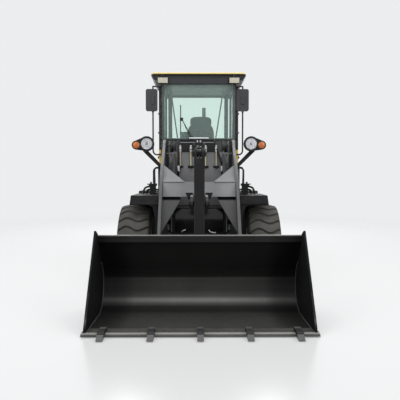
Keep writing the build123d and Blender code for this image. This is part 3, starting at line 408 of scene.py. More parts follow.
def smooth_mesh(bm, name):
    """Close a bmesh into a smoothly shaded mesh."""
    mesh = bpy.data.meshes.new(name)
    bm.to_mesh(mesh)
    bm.free()
    mesh.shade_smooth()
    return mesh


def place(obj, body, paint, stands_for=()):
    """Dress a finished object and fasten it to its body."""
    obj.data.materials.append(MAT[paint])
    bpy.context.scene.collection.objects.link(obj)
    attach(obj, body)
    if stands_for:
        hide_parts(*stands_for)
    return obj


class Piece:
    """Simple solids gathered into one named mesh."""

    def __init__(self, name, body, paint, *stands_for):
        self.name, self.body, self.paint, self.stands_for = name, body, paint, stands_for
        self.bm = bmesh.new()

    def ring(self, points):
        return [self.bm.verts.new(p) for p in points]

    def skin(self, rings, caps=True, loop=False):
        """Quads between successive rings of points."""
        count = len(rings[0])
        pairs = list(zip(rings, rings[1:]))
        if loop:
            pairs.append((rings[-1], rings[0]))
        for a, b in pairs:
            for i in range(count):
                j = (i + 1) % count
                self.bm.faces.new((a[i], a[j], b[j], b[i]))
        if caps and not loop:
            self.bm.faces.new(list(reversed(rings[0])))
            self.bm.faces.new(rings[-1])

    def prism(self, points, move):
        """A flat outline of points carried along a move in millimetres."""
        step = Vector(move) / 1000
        self.skin([self.ring(points), self.ring([p + step for p in points])])

    def block(self, x0, x1, s0, s1, z0, z1):
        self.prism([at(x0, s0, z0), at(x1, s0, z0), at(x1, s1, z0), at(x0, s1, z0)], (0, 0, z1 - z0))

    def lathe(self, origin, axis, profile, sides=28, caps=True):
        """A turned shape, its profile as (distance along the axis, radius) in millimetres."""
        turn = axis.to_track_quat("Z", "Y").to_matrix()
        self.skin([self.ring([origin + turn @ Vector((radius * c, radius * s, along)) / 1000
            for c, s in circle(sides)]) for along, radius in profile], caps=caps)

    def rod(self, start, end, radius, sides=16):
        self.lathe(start, end - start, [(0, radius), ((end - start).length * 1000, radius)], sides)

    def bolt(self, spot, axis, size=18):
        """A washer with a six-sided head."""
        self.lathe(spot, axis, [(0, size * 0.75), (size * 0.12, size * 0.75)], 16)
        head = [(size * 0.1, size * 0.52), (size * 0.5, size * 0.52), (size * 0.6, size * 0.42)]
        self.lathe(spot, axis, head, 6)

    def tube(self, points, radius, sides=10, loop=False):
        """A round bead through points in metres."""
        count = len(points)
        across = None
        rings = []
        for i, point in enumerate(points):
            before = points[i - 1] if i or loop else points[0]
            after = points[(i + 1) % count] if i + 1 < count or loop else points[-1]
            along = (after - before).normalized()
            if across is None:
                across = along.orthogonal().normalized()
            across = (across - along * across.dot(along)).normalized()
            other = along.cross(across)
            rings.append(self.ring([point + (across * c + other * s) * radius / 1000 for c,
                s in circle(sides)]))
        self.skin(rings, loop=loop)

    def weld(self, start, end, radius=5):
        """A rippled bead of weld between two points."""
        steps = max(2, int((end - start).length / 0.012))
        points = [start.lerp(end, i / steps) for i in range(steps + 1)]
        self.tube(points, radius, 6)

    def done(self, bevel=0.0, angle=32, segments=2):
        bmesh.ops.recalc_face_normals(self.bm, faces=self.bm.faces)
        mesh = smooth_mesh(self.bm, self.name)
        mesh.set_sharp_from_angle(angle=radians(angle))
        obj = bpy.data.objects.new(self.name, mesh)
        place(obj, self.body, self.paint, self.stands_for)
        if bevel:
            soften(obj, bevel, segments)
        return obj


def soften(obj, width, segments=2):
    """Round the sharp edges of an object a little."""
    edge = obj.modifiers.new("edges", "BEVEL")
    edge.width = width / 1000
    edge.segments = segments
    edge.limit_method = "ANGLE"
    edge.angle_limit = radians(38)
    edge.use_clamp_overlap = True
    edge.harden_normals = True


def soften_nodes(width, *names):
    """Round the edges of carried-over nodes, their seams closed first."""
    for name in names:
        weld = NODES[name].modifiers.new("seams", "WELD")
        weld.merge_threshold = 0.00005
        soften(NODES[name], width)


def hose(name, body, paint, radius, routes, stands_for=()):
    """Smooth hoses along their routes, each clamped at both ends."""
    data = bpy.data.curves.new(name, "CURVE")
    data.dimensions = "3D"
    data.bevel_depth = radius / 1000
    data.bevel_resolution = 4
    data.resolution_u = 10
    data.use_fill_caps = True
    for route in routes:
        spline = data.splines.new("NURBS")
        spline.points.add(len(route) - 1)
        for point, spot in zip(spline.points, route):
            point.co = (*at(*spot), 1)
        spline.order_u = 3
        spline.use_endpoint_u = True
    return place(bpy.data.objects.new(name, data), body, paint, stands_for)


# ======== wheels
LUGS = 26
# share of one pitch, share of the groove's depth there
LUG_STEPS = [(0.0, 0), (0.05, 1), (0.15, 1), (0.24, 1), (0.30, 0), (0.32, 0), (0.45, 0), (0.58, 0), (0.71, 0),
    (0.85, 0), (0.98, 0)]
# half profile of the tyre: distance from the middle plane, radius, depth of the grooves
FLANK = [(150, 254, 0), (158, 262, 0), (164, 276, 0), (166, 283, 0), (173, 287, 0), (190, 318, 0),
    (200, 345, 0), (205, 378, 0), (205, 402, 0), (206.5, 404, 0), (206.5, 414, 0), (204, 417, 0),
    (201, 442, 0), (197, 462, 0), (193, 478, 8), (190, 492, 18), (187, 503, 25), (182, 510, 26)]


def tyre_profile():
    """The whole profile from the inner bead over the tread to the outer one."""
    tread = []
    for k in range(-10, 11):
        x = 170 * k / 10
        tread.append((x, WHEEL_RADIUS - 27 * (x / 185) ** 2, 26))
    left = [(-x, r, d) for x, r, d in FLANK]
    return left + tread + list(reversed(FLANK))


def tyre_mesh():
    """A tyre whose tread is cut by wavy grooves that run across it."""
    bm = bmesh.new()
    profile = tyre_profile()
    rings = []
    for lug in range(LUGS):
        for share, deep in LUG_STEPS:
            turn = 2 * pi * (lug + share) / LUGS
            ring = []
            for x, r, depth in profile:
                t = min(1.0, max(0.0, (x + 190) / 380))
                wave = 30 * sin(2 * pi * (t - 0.09) / 0.74)
                a = turn + wave / WHEEL_RADIUS
                sink = depth * deep
                side = 0.55 if abs(x) > 185 else 0.0
                reach = r - sink * (1 - side)
                across = x - copysign(sink * side, x)
                spot = (across / 1000, -reach * cos(a) / 1000, reach * sin(a) / 1000)
                ring.append(bm.verts.new(spot))
            rings.append(ring)
    count = len(profile)
    for a, b in zip(rings, rings[1:] + rings[:1]):
        for i in range(count - 1):
            bm.faces.new((a[i], a[i + 1], b[i + 1], b[i]))
    bmesh.ops.recalc_face_normals(bm, faces=bm.faces)
    mesh = smooth_mesh(bm, "tyre")
    mesh.set_sharp_from_angle(angle=radians(40))
    return mesh


# the rim from its inner lip to its outer lip, as (distance outboard, radius)
RIM = [(-160, 238), (-165, 252), (-165, 268), (-158, 270), (-154, 256), (-120, 250), (-90, 240), (90, 240),
    (120, 250), (154, 256), (158, 270), (165, 268), (165, 250), (158, 238), (100, 228), (70, 226), (58, 215),
    (50, 190), (56, 165), (58, 150), (58, 132), (64, 128), (110, 118), (116, 110), (118, 60), (122, 54),
    (122, 0.5)]


def rim_piece(end, side_name, side, s):
    """A dished rim with its nuts, hand holes' lips, hub bolts and valve."""
    rim = f"rim_{end}_{side_name}"
    piece = Piece(rim + "_detail", f"wheel_{end}_{side_name}", "rim_paint", rim)
    hub = at(side * HALF_TRACK, s, WHEEL_RADIUS)
    out = LEFT * side
    piece.lathe(hub, out, RIM, 56, caps=False)
    piece.lathe(hub, out, [(-80, 129), (42, 129)], 40)
    for spoke in circle(10):
        piece.bolt(hub + out * 0.0575 + Vector((0, *spoke)) * 0.150, out, 24)
    for spoke in circle(8, 0.5):
        piece.bolt(hub + out * 0.1165 + Vector((0, *spoke)) * 0.084, out, 14)
    piece.lathe(hub + out * 0.120, out, [(0, 30), (6, 30), (9, 26)], 6)
    piece.rod(hub + out * 0.052 + UP * 0.196, hub + out * 0.092 + UP * 0.205, 5, 8)
    return piece.done(1.5)


def wheels():
    """Tyres share one mesh, and each rim has its own."""
    mesh = tyre_mesh()
    mesh.materials.append(MAT["tyre_rubber"])
    for end, s in (("front", 0), ("rear", WHEELBASE)):
        for name, side in SIDES:
            obj = linked(f"tyre_{end}_{name}_detail", mesh)
            obj.location = at(side * HALF_TRACK, s, WHEEL_RADIUS)
            obj.rotation_euler.x = random.uniform(0, 1.2) if end == "rear" else 0.03 * (side + 1)
            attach(obj, f"wheel_{end}_{name}")
            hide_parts(f"tyre_{end}_{name}")
            rim_piece(end, name, side, s)


wheels()


# ======== front frame
def tower():
    """Grey skin and top edge of the tower's plate, its bolts and the ears' bolts."""
    skin = Piece("tower_skin", "front_frame", "tower_paint")
    outline = [(-397, 1747), (-62, 1747), (-62, 1692), (62, 1692), (62, 1747), (397, 1747), (397, 1622),
        (344, 1610), (344, 1045), (-344, 1045), (-344, 1610), (-397, 1622)]
    skin.prism([at(x, 299.6, z) for x, z in outline], (0, -4, 0))
    skin.done(1.2)
    lip = Piece("tower_lip", "front_frame", "edge_grey")
    for side in BOTH:
        lip.block(side * 64, side * 398, 291, 320, 1747, 1754)
        lip.block(side * 398, side * 404, 296, 316, 1700, 1912)
    lip.done(1.5)
    bolts = Piece("tower_bolts", "front_frame", "frame_paint")
    for side in BOTH:
        for z in (1800, 1850):
            bolts.bolt(at(side * 425, 298, z), FRONT, 22)
        bolts.block(side * 404, side * 446, 300, 312, 1560, 1905)
        bolts.bolt(at(side * 370, 295, 1722), FRONT, 16)
    bolts.done(1.0)
    band = Piece("tower_clips", "front_frame", "edge_grey")
    for side in BOTH:
        band.block(side * 406, side * 444, 292, 301, 1742, 1750)
    band.done(0.8)


tower()


def pipework():
    """Pipes on the tower with light unions and dark elbows, and two hoses beside them."""
    pipes = Piece("tower_pipes", "front_frame", "pipe_zinc", "hydraulic_pipes")
    ends = Piece("pipe_unions", "front_frame", "light_fitting_and_highlight")
    elbows = Piece("pipe_elbows", "front_frame", "hose_rubber")
    for x in (-250, -108, 90, 232):
        pipes.rod(at(x, 278, 1570), at(x, 278, 1765), 10)
        for low, high, r in ((1762, 1790, 15), (1796, 1826, 17), (1826, 1852, 12)):
            ends.lathe(at(x, 278, low), UP, [(0, r - 2), (3, r), (high - low - 3, r), (high - low, r - 2)],
                14)
        elbows.lathe(at(x, 278, 1545), UP, [(0, 17), (30, 17), (34, 14)], 6)
        elbows.rod(at(x, 278, 1552), at(x, 300, 1552), 13)
        for shift in (27, -27):
            elbows.bolt(at(x + shift, 297, 1566), FRONT, 16)
        elbows.block(x - 40, x + 40, 290, 298, 1548, 1580)
    pipes.done()
    ends.done(0.8)
    elbows.done(1.0)
    hose("tower_hoses", "front_frame", "hose_rubber", 13,
        [[(-274, 330, 1930), (-274, 300, 1905), (-274, 270, 1800), (-274, 262, 1700), (-274, 262, 1575)],
        [(205, 330, 1935), (215, 300, 1905), (240, 270, 1800), (290, 262, 1660), (309, 262, 1575)],
        [(-274, 262, 1505), (-276, 275, 1470), (-280, 296, 1440)],
        [(310, 262, 1505), (312, 275, 1470), (316, 296, 1440)]])
    ferrules = Piece("hose_ferrules", "front_frame", "light_fitting_and_highlight")
    for x in (-274, 309):
        ferrules.lathe(at(x, 262, 1502), UP, [(0, 14), (4, 17), (68, 17), (74, 14)], 16)
    ferrules.done(0.6)


pipework()


def side_hoses():
    """Hose loops and arcs round the valve blocks beside the mudguards."""
    block = Piece("valve_blocks", "front_frame", "frame_paint")
    light = Piece("block_elbows", "front_frame", "light_fitting_and_highlight")
    routes = []
    arcs = []
    for side in BOTH:
        block.block(side * 578, side * 655, 205, 310, 1200, 1325)
        block.block(side * 560, side * 668, 195, 250, 1310, 1340)
        block.block(side * 600, side * 690, 200, 290, 1325, 1338)
        for z in (1240, 1285):
            block.bolt(at(side * 630, 204, z), FRONT, 16)
        for x in (640, 590):
            block.rod(at(side * x, 230, 1340), at(side * x, 230, 1362), 12)
        light.rod(at(side * 533, 285, 1205), at(side * 533, 285, 1300), 9)
        light.rod(at(side * 535, 285, 1215), at(side * 600, 240, 1222), 9)
        light.lathe(at(side * 589, 285, 1240), UP, [(0, 13), (40, 13)], 6)
        routes.append([(side * 586, 285, 1240), (side * 592, 285, 1380), (side * 596, 285, 1500),
            (side * 590, 285, 1556), (side * 535, 285, 1556), (side * 528, 285, 1500),
            (side * 531, 285, 1380), (side * 533, 285, 1300)])
        arcs.append([(side * 650, 235, 1300), (side * 700, 235, 1298), (side * 738, 235, 1262),
            (side * 743, 235, 1202)])
        arcs.append([(side * 650, 270, 1262), (side * 680, 270, 1260), (side * 703, 270, 1235),
            (side * 706, 270, 1202)])
    block.done(1.5)
    light.done(0.6)
    hose("side_hose_loops", "front_frame", "hose_rubber", 9, routes, ("hydraulic_hoses",))
    hose("side_hose_arcs", "front_frame", "hose_rubber", 13, arcs)


side_hoses()


def headlamps():
    """Reflector, ribbed lens and rim of each headlamp, and the indicators' domes."""
    glass_disc = Piece("headlamp_lens_ribs", "front_frame", "lamp_bright", "headlamp_lenses")
    rims = Piece("headlamp_rims", "front_frame", "frame_paint")
    domes = Piece("indicator_domes", "front_frame", "indicator_lens", "indicator_lenses")
    spots = Piece("headlamp_spots", "front_frame", "lamp_centre")
    for side in BOTH:
        spot = at(side * 688, 158, 1865)
        profile = [(0, 76)]
        for k in range(15):
            r = 75 - k * 5
            profile += [(7 + 6 * (1 - (r / 76) ** 2), r), (9.5 + 6 * (1 - (r / 76) ** 2), r - 2.5)]
        glass_disc.lathe(spot, FRONT, profile, 48)
        spots.lathe(spot + FRONT * 0.014, FRONT, [(0, 17), (4, 15), (6, 8)], 24)
        rims.lathe(spot, FRONT, [(-4, 98), (14, 98), (19, 94), (19, 82), (14, 76.5), (2, 76.5)], 56,
            caps=False)
        turn = at(side * 826, 158, 1846)
        domes.lathe(turn, FRONT, [(0, 47), (12, 47), (20, 42), (25, 30), (27, 12), (27, 1)], 40)
        rims.lathe(turn, FRONT, [(-4, 58), (10, 58), (14, 55), (14, 50), (10, 48)], 48, caps=False)
    glass_disc.done(angle=60)
    rims.done()
    domes.done()
    spots.done()


headlamps()


# ======== boom and linkage
def lever_arc(side, radius, degrees):
    """Points round the lever's top pin at one side, their angles measured up from the front."""
    s, z = LEVER_TOP
    turns = [radians(v) for v in degrees]
    return [at(side * 46.5, s - radius * cos(a), z + radius * sin(a)) for a in turns]


def lever_front(z):
    """Station of the tilt lever's front edge at a height."""
    hub_s, hub_z = LEVER_HUB
    if z > hub_z:
        return hub_s - 85 + (z - hub_z) / (LEVER_TOP[1] - hub_z) * (71 + 23)
    return hub_s - 85 - (hub_z - z) / (hub_z - LEVER_FOOT[1]) * (159 - 23)


def linkage():
    """Pins, caps, welds and the lever's top with its slot and lugs; near-black plates over the lugs are
    painted shade, and pale arcs on the lever's top are a painted highlight.
    """
    caps = Piece("arm_pin_caps", "boom", "frame_paint")
    for side in BOTH:
        hub = at(side * 487, -930, 260)
        caps.lathe(hub, LEFT * side, [(0, 62), (6, 62), (8, 58)], 36)
        for k in range(4):
            a = pi / 4 + k * pi / 2
            spot = at(side * 488, BOOM_PIVOT[0] + 78 * cos(a), BOOM_PIVOT[1] + 78 * sin(a))
            caps.bolt(spot, LEFT * side, 14)
    caps.done(1.0)
    welds = Piece("boom_welds", "boom", "arm_paint")
    for side in BOTH:
        edge = side * 451
        welds.weld(at(edge, -320, 1200), at(edge, -320, 1356), 6)
        welds.weld(at(edge - side * 3, -324, 1366), at(edge - side * 3, -112, 1690), 6)
        welds.weld(at(edge - side * 3, -352, 1132), at(edge - side * 3, -540, 790), 6)
        welds.weld(at(side * 185, -322, 1364), at(side * 449, -322, 1364), 5)
    welds.done()
    # Near-black plates over the crank's lugs below the beam are painted shade; the rings round the lever's
    # hub are the lugs' bosses.
    lugs_and_shade = Piece("crank_lug_bosses_and_shade_plates", "boom", "frame_paint")
    for side in BOTH:
        lugs_and_shade.prism([at(side * x, -345, z) for x, z in ((79, 1236), (170, 1236), (129, 1150), (79, 1150))],
            (0, -3, 0))
        lugs_and_shade.lathe(at(side * 74.5, *LEVER_HUB), LEFT * side, [(0, 80.5), (32, 80.5)], 44)
    lugs_and_shade.done(1.0)
    top = Piece("lever_top", "bellcrank", "frame_paint")
    for side in BOTH:
        top.lathe(at(side * 62, *LEVER_TOP), LEFT * side, [(0, 40), (16, 40), (19, 36)], 28)
        top.bolt(at(side * 80, *LEVER_TOP), LEFT * side, 16)
        top.tube(lever_arc(side, 64, range(-10, 150, 10)), 5, 8)
    top.block(-30, 30, -536, -528, 1560, 1650)
    top.bolt(at(0, -538, 1668), FRONT, 22)
    top.done(0.8)
    # Thin pale arcs over the lever's rounded top: a painted highlight where the top catches the light.
    shine = Piece("lever_top_highlight_arcs", "bellcrank", "light_fitting_and_highlight")
    for side in BOTH:
        shine.tube(lever_arc(side, 66, range(60, 124, 8)), 2, 8)
    shine.done()
    pins = Piece("lever_pin_caps", "bellcrank", "frame_paint")
    for side in BOTH:
        pins.lathe(at(side * 111, *LEVER_HUB), LEFT * side, [(0, 50), (5, 50), (8, 46)], 32)
        pins.bolt(at(side * 119, *LEVER_HUB), LEFT * side, 18)
        pins.lathe(at(side * 62, *LEVER_FOOT), LEFT * side, [(0, 44), (8, 44), (11, 40)], 28)
    pins.done(0.8)
    seam = Piece("lever_plates", "bellcrank", "frame_paint")
    for low, high in ((700, 1060), (1170, 1540)):
        for side in BOTH:
            s_low, s_high = lever_front(low), lever_front(high)
            seam.weld(at(side * 57, s_low, low), at(side * 57, s_high, high), 3)
    seam.done()


linkage()


def feed_lines():
    """The T-shaped bracket over the tilt cylinder with its two hoses and unions."""
    bar = Piece("feed_bracket", "tilt_barrel", "light_bracket")
    bar.block(-130, 130, 286, 290, 1942, 1958)
    for x in (-100, 100):
        bar.lathe(at(x, 286, 1950), FRONT, [(0, 10), (6, 10)], 6)
    bar.done(1.0)
    hose("feed_hoses", "tilt_barrel", "hose_rubber", 9,
        [[(side * 22, 300, 1938), (side * 30, 285, 1905), (side * 58, 270, 1870), (side * 66, 262, 1845)]
        for side in BOTH])
    unions = Piece("feed_unions", "tilt_barrel", "light_fitting_and_highlight")
    for side in BOTH:
        unions.lathe(at(side * 20, 284, 1886), UP, [(0, 9), (4, 11), (26, 11), (30, 8)], 12)
    unions.done(0.5)


feed_lines()


def cylinders():
    """Rings and pipes of the lift and tilt cylinders."""
    def point(ends, x, reach):
        """A place some millimetres along a cylinder, and the cylinder's direction."""
        (s, z), tip = ends
        run, rise = tip[0] - s, tip[1] - z
        length = hypot(run, rise)
        return (at(x, s + run * reach / length, z + rise * reach / length),
            Vector((0, run, rise)).normalized())

    glands = Piece("lift_glands", "lift_barrels", "frame_paint")
    for side in BOTH:
        for reach in (120, 735, 790):
            spot, along = point(LIFT_CYLINDER, side * 396, reach)
            glands.lathe(spot, along, [(0, 47), (12, 47)], 32)
        low, along = point(LIFT_CYLINDER, side * 396, 150)
        high, along = point(LIFT_CYLINDER, side * 396, 730)
        away = Vector((0, along.z, -along.y)) * -0.056
        glands.tube([low + away * 0.75, low + away, high + away, high + away * 0.75], 7, 10)
    glands.done(0.8)
    tilt = Piece("tilt_gland", "tilt_barrel", "frame_paint")
    spot, along = point(TILT_CYLINDER, 0, 560)
    tilt.lathe(spot, along, [(0, 51), (40, 51), (43, 47)], 36)
    spot, along = point(TILT_CYLINDER, 0, 100)
    tilt.lathe(spot, along, [(0, 49), (10, 49)], 32)
    tilt.done(0.8)


cylinders()


# ======== bucket
def bucket_details():
    """Pale strips that paint highlights on the rim and the cutting edge's bevel, welds, tooth points, tooth
    adapters and the bolts of the edge.
    """
    # A pale bar along the rim: its colour is a painted highlight where the rim's top is lit from above.
    bar = Piece("bucket_rim_highlight_bar", "bucket", "painted_edge_highlight")
    bar.block(-1048, 1048, -1451, -1422, 833, 843)
    bar.done(2.0)
    edge = Piece("bucket_edge_bolts", "bucket", "edge_steel")
    for x in range(-990, 991, 110):
        if min(abs(x - t) for t in TOOTH_PLACES) > 50:
            edge.lathe(at(x, -1990, 34.5), UP, [(0, 15), (3, 15), (5, 12)], 16)
    edge.done()
    # A thin pale strip over the upper half of the cutting edge's bevel: a painted highlight where the bevel
    # is lit from above.
    lip = Piece("cutting_edge_highlight_strip", "bucket", "painted_edge_highlight")
    lip.prism([at(-1069, -2054, 35.5), at(1069, -2054, 35.5), at(1069, -2080, 26.6), at(-1069, -2080, 26.6)],
        (0, 0, 1.2))
    lip.done()
    teeth = Piece("tooth_points", "bucket", "tooth_steel")
    adapters = Piece("tooth_adapters", "bucket", "frame_paint")
    for x in TOOTH_PLACES:
        shape = [(-2150, 50), (-2150, 15), (-2219, 10.5), (-2219, 15)]
        teeth.prism([at(x - 24, s, z) for s, z in shape], (48, 0, 0))
        shape = [(-1968, 36), (-1996, 66), (-2110, 70), (-2152, 56), (-2152, 34)]
        adapters.prism([at(x - 31, s, z) for s, z in shape], (62, 0, 0))
        for side in BOTH:
            adapters.lathe(at(x + side * 31, -2128, 50), LEFT * side, [(0, 9), (3, 9)], 12)
    teeth.done(2.0)
    adapters.done(3.0)
    welds = Piece("bucket_welds", "bucket", "arm_paint")
    for side in BOTH:
        arc = []
        for k in range(25):
            a = radians(-90 + k * 6)
            arc.append(at(side * 1028, -1440 + 282 * cos(a), 310 + 282 * sin(a)))
        welds.tube([at(side * 1028, -1920, 28)] + arc, 6, 6)
    welds.tube([at(-1028, -1922, 28), at(1028, -1922, 28)], 6, 6)
    welds.done()


bucket_details()


# ======== cab
def cab_front_parts():
    """Seals, wiper, panels under the windscreen and the thin rods inside it."""
    seal = Piece("windscreen_seal", "rear_frame", "hose_rubber")
    loop = [(-548, 1974), (548, 1974), (548, 2800), (-548, 2800)]
    for (x0, z0), (x1, z1) in zip(loop, loop[1:] + loop[:1]):
        seal.block(min(x0, x1) - 7, max(x0, x1) + 7, 974, 985, min(z0, z1) - 7, max(z0, z1) + 7)
    seal.done(2.0)
    panels = Piece("cab_nose_panels", "rear_frame", "cab_panel")
    for side in BOTH:
        panels.block(side * 272, side * 452, 972, 985, 1560, 1962)
        panels.block(side * 460, side * 553, 976, 985, 1215, 1962)
    panels.block(-450, 450, 972, 985, 1215, 1550)
    panels.done(3.0)
    recess = Piece("cab_nose_recess", "rear_frame", "hose_rubber")
    recess.block(-268, 268, 978, 985, 1560, 1926)
    for x in (-190, -60, 70, 195):
        recess.block(x - 20, x + 20, 966, 978, 1780, 1860)
        recess.bolt(at(x, 966, 1830), FRONT, 14)
    recess.done(1.5)
    line = Piece("cab_nose_lip", "rear_frame", "edge_grey")
    line.block(-272, 268, 970, 985, 1930, 1941)
    line.done(1.0)
    wiper = Piece("wiper", "rear_frame", "hose_rubber")
    wiper.block(-272, -260, 955, 966, 2075, 2485)
    wiper.block(-270, -262, 962, 975, 2080, 2480)
    for shift in (0, 26):
        wiper.rod(at(-98 - shift, 962, 2012), at(-240 - shift * 0.6, 954, 2262 + shift * 1.4), 5, 8)
    wiper.block(-276, -228, 948, 958, 2250, 2296)
    wiper.lathe(at(-98, 975, 2012), FRONT, [(0, 17), (14, 17), (20, 12)], 20)
    wiper.lathe(at(-124, 975, 2012), FRONT, [(0, 13), (14, 13), (20, 9)], 20)
    wiper.done(1.0)
    rods = Piece("screen_struts", "rear_frame", "hose_rubber")
    rods.rod(at(-416, 1052, 2730), at(-315, 1052, 2010), 10, 10)
    rods.rod(at(363, 1052, 2690), at(257, 1052, 2010), 10, 10)
    rods.done()
    header = Piece("roof_header", "rear_frame", "header_grey")
    header.block(-444, 440, 948, 985, 2788, 2866)
    header.done(5.0, segments=3)


cab_front_parts()


def roof_lamps():
    """Housings, lenses and brackets of the work lamps."""
    shells = Piece("work_lamp_shells", "rear_frame", "frame_paint")
    lenses = Piece("work_lamp_lenses", "rear_frame", "work_lens", "work_lamps")
    for side in BOTH:
        for face, inward in ((898, 1), (2392, -1)):
            back = face + inward * 50
            low, high = min(face + 4 * inward, back), max(face + 4 * inward, back)
            shells.block(side * 443, side * 600, low, high, 2787, 2877)
            shells.block(side * 500, side * 545, low + 10, high, 2877, 2916)
            lens_a, lens_b = sorted((face, face + 10 * inward))
            lenses.block(side * 450, side * 593, lens_a, lens_b, 2794, 2870)
            for k in range(6):
                x = 458 + k * 25.5
                lenses.block(side * x, side * (x + 3), lens_a - 1.5, lens_b + 1.5, 2796, 2868)
    shells.done(5.0, segments=3)
    lenses.done(2.0)


roof_lamps()


def mirror_parts():
    """Backs, glass and clamps of the mirrors."""
    backs = Piece("mirror_clamps", "rear_frame", "mirror_shell")
    glasses = Piece("mirror_glass", "rear_frame", "mirror_face")
    for side, inner, outer, rod in ((1, 556, 741, 652), (-1, 608, 780, 675)):
        backs.block(side * (rod - 24), side * (rod + 24), 972, 986, 2500, 2620)
        backs.lathe(at(side * rod, 1004, 2380), UP, [(0, 17), (22, 17)], 16)
        for z in (1760, 2080, 2360):
            backs.block(side * 552, side * 600, 996, 1012, z - 12, z + 12)
        glasses.block(side * (inner + 14), side * (outer - 14), 1019, 1022, 2412, 2706)
    backs.done(3.0)
    glasses.done(1.0)


mirror_parts()


def cushion(name, paint, centre, half, lean=0.0, pleats=(), power=4.0, stands_for=(), deep=5.0):
    """A stuffed block with rounded corners and sewn pleats, leaning back by some degrees."""
    bm = bmesh.new()
    bmesh.ops.create_cube(bm, size=2.0)
    bmesh.ops.subdivide_edges(bm, edges=bm.edges[:], cuts=31, use_grid_fill=True)
    turn = Matrix.Rotation(radians(-lean), 3, "X")
    for v in bm.verts:
        c = v.co
        size = (abs(c.x) ** power + abs(c.y) ** power + abs(c.z) ** power) ** (1 / power)
        c = c / size
        sink = sum(exp(-((c.x - p) / 0.035) ** 2) for p in pleats) * deep
        point = Vector((c.x * half[0], c.y * half[1], c.z * half[2]))
        facing = max(0.0, -c.y if half[1] < half[2] else c.z)
        push = Vector((0, sink * facing, 0)) if half[1] < half[2] else Vector((0, 0, -sink * facing))
        v.co = at(*centre) + turn @ (point + push) / 1000
    obj = place(bpy.data.objects.new(name, smooth_mesh(bm, name)), "rear_frame", paint, stands_for)
    return obj


def seat():
    """A pleated seat with its bolsters, headrest, armrests and suspension."""
    pleats = (-0.45, -0.15, 0.15, 0.45)
    cushion("seat_cushion", "seat_fabric", (40, 1740, 1620), (235, 240, 62), 0, pleats, 5.0,
        ("operator_seat",))
    cushion("seat_back", "seat_fabric", (40, 1998, 1985), (225, 52, 340), 7, pleats, 4.0, ("operator_seat",))
    cushion("seat_head", "seat_fabric", (42, 2040, 2345), (178, 40, 92), 5, (), 3.5, ("operator_seat",), 0)
    base = Piece("seat_base", "rear_frame", "console_plastic", "operator_seat")
    base.block(-170, 210, 1600, 1960, 1200, 1300)
    for k in range(6):
        base.block(-160 + k * 4, 200 - k * 4, 1610, 1950, 1305 + k * 40, 1335 + k * 40)
    base.block(-180, 220, 1560, 1970, 1545, 1562)
    for side in (-1, 1):
        base.block(20 + side * 225, 20 + side * 262, 1700, 1960, 1790, 1830)
        base.block(20 + side * 235, 20 + side * 255, 1930, 1990, 1640, 1800)
    for x in (-70, 110):
        base.rod(at(x, 2035, 2240), at(x, 2040, 2320), 8, 10)
    base.done(5.0, segments=3)


seat()


def driving_place():
    """Instrument pod, levers and pedals."""
    pod = Piece("dash_parts", "rear_frame", "console_plastic")
    pod.prism([at(-170, s, z) for s, z in ((1060, 1890), (1060, 1985), (1110, 2005), (1180, 1960),
        (1180, 1890))], (340, 0, 0))
    pod.block(-52, 52, 1330, 1370, 2030, 2072)
    pod.block(-380, -300, 1560, 1620, 1480, 1730)
    for x in (-362, -336, -312):
        pod.rod(at(x, 1700, 1720), at(x, 1680, 1835), 6, 8)
        pod.lathe(at(x, 1680, 1830), UP, [(0, 12), (20, 17), (36, 14), (42, 4)], 14)
    for x in (-120, 120):
        pod.block(x - 35, x + 35, 1200, 1290, 1250, 1262)
    pod.done(4.0, segments=3)
    dials = Piece("dash_dials", "rear_frame", "work_lens")
    for x in (-90, 0, 90):
        dials.lathe(at(x, 1150, 1982), Vector((0, 0.55, 0.83)), [(0, 30), (3, 30)], 24)
    dials.done()


driving_place()


def doors():
    """Handles, hinges, seals and a grab bar on each door."""
    for name, side in SIDES:
        body = f"door_{name}"
        trim = Piece(f"door_{name}_trim", body, "hose_rubber")
        low, high, front, back = 1800, 2705, 1105, 1910
        out = side * 590
        for s0, s1, z0, z1 in ((front - 10, front + 6, low - 10, high + 10),
                (back - 6, back + 10, low - 10, high + 10), (front, back, low - 10, low + 6),
                (front, back, high - 6, high + 10)):
            trim.block(side * 572, out + side * 4, s0, s1, z0, z1)
        trim.block(out, out + side * 20, 1110, 1240, 1700, 1740)
        trim.block(out + side * 14, out + side * 26, 1110, 1220, 1712, 1728)
        for z in (1380, 1640, 2640):
            trim.block(out, out + side * 9, 1900, 1972, z - 30, z + 30)
            trim.rod(at(out + side * 2, 1974, z - 40), at(out + side * 2, 1974, z + 40), 9, 12)
            for s in (1915, 1945):
                trim.bolt(at(out + side * 9, s, z), LEFT * side, 12)
        trim.tube([at(side * 562, 1180, 1500), at(side * 548, 1180, 1500), at(side * 548, 1180, 1760),
            at(side * 562, 1180, 1760)], 9, 8)
        for z in (1330, 1560):
            trim.block(out, out + side * 2, 1120, 1890, z, z + 12)
        trim.done(1.5)


doors()


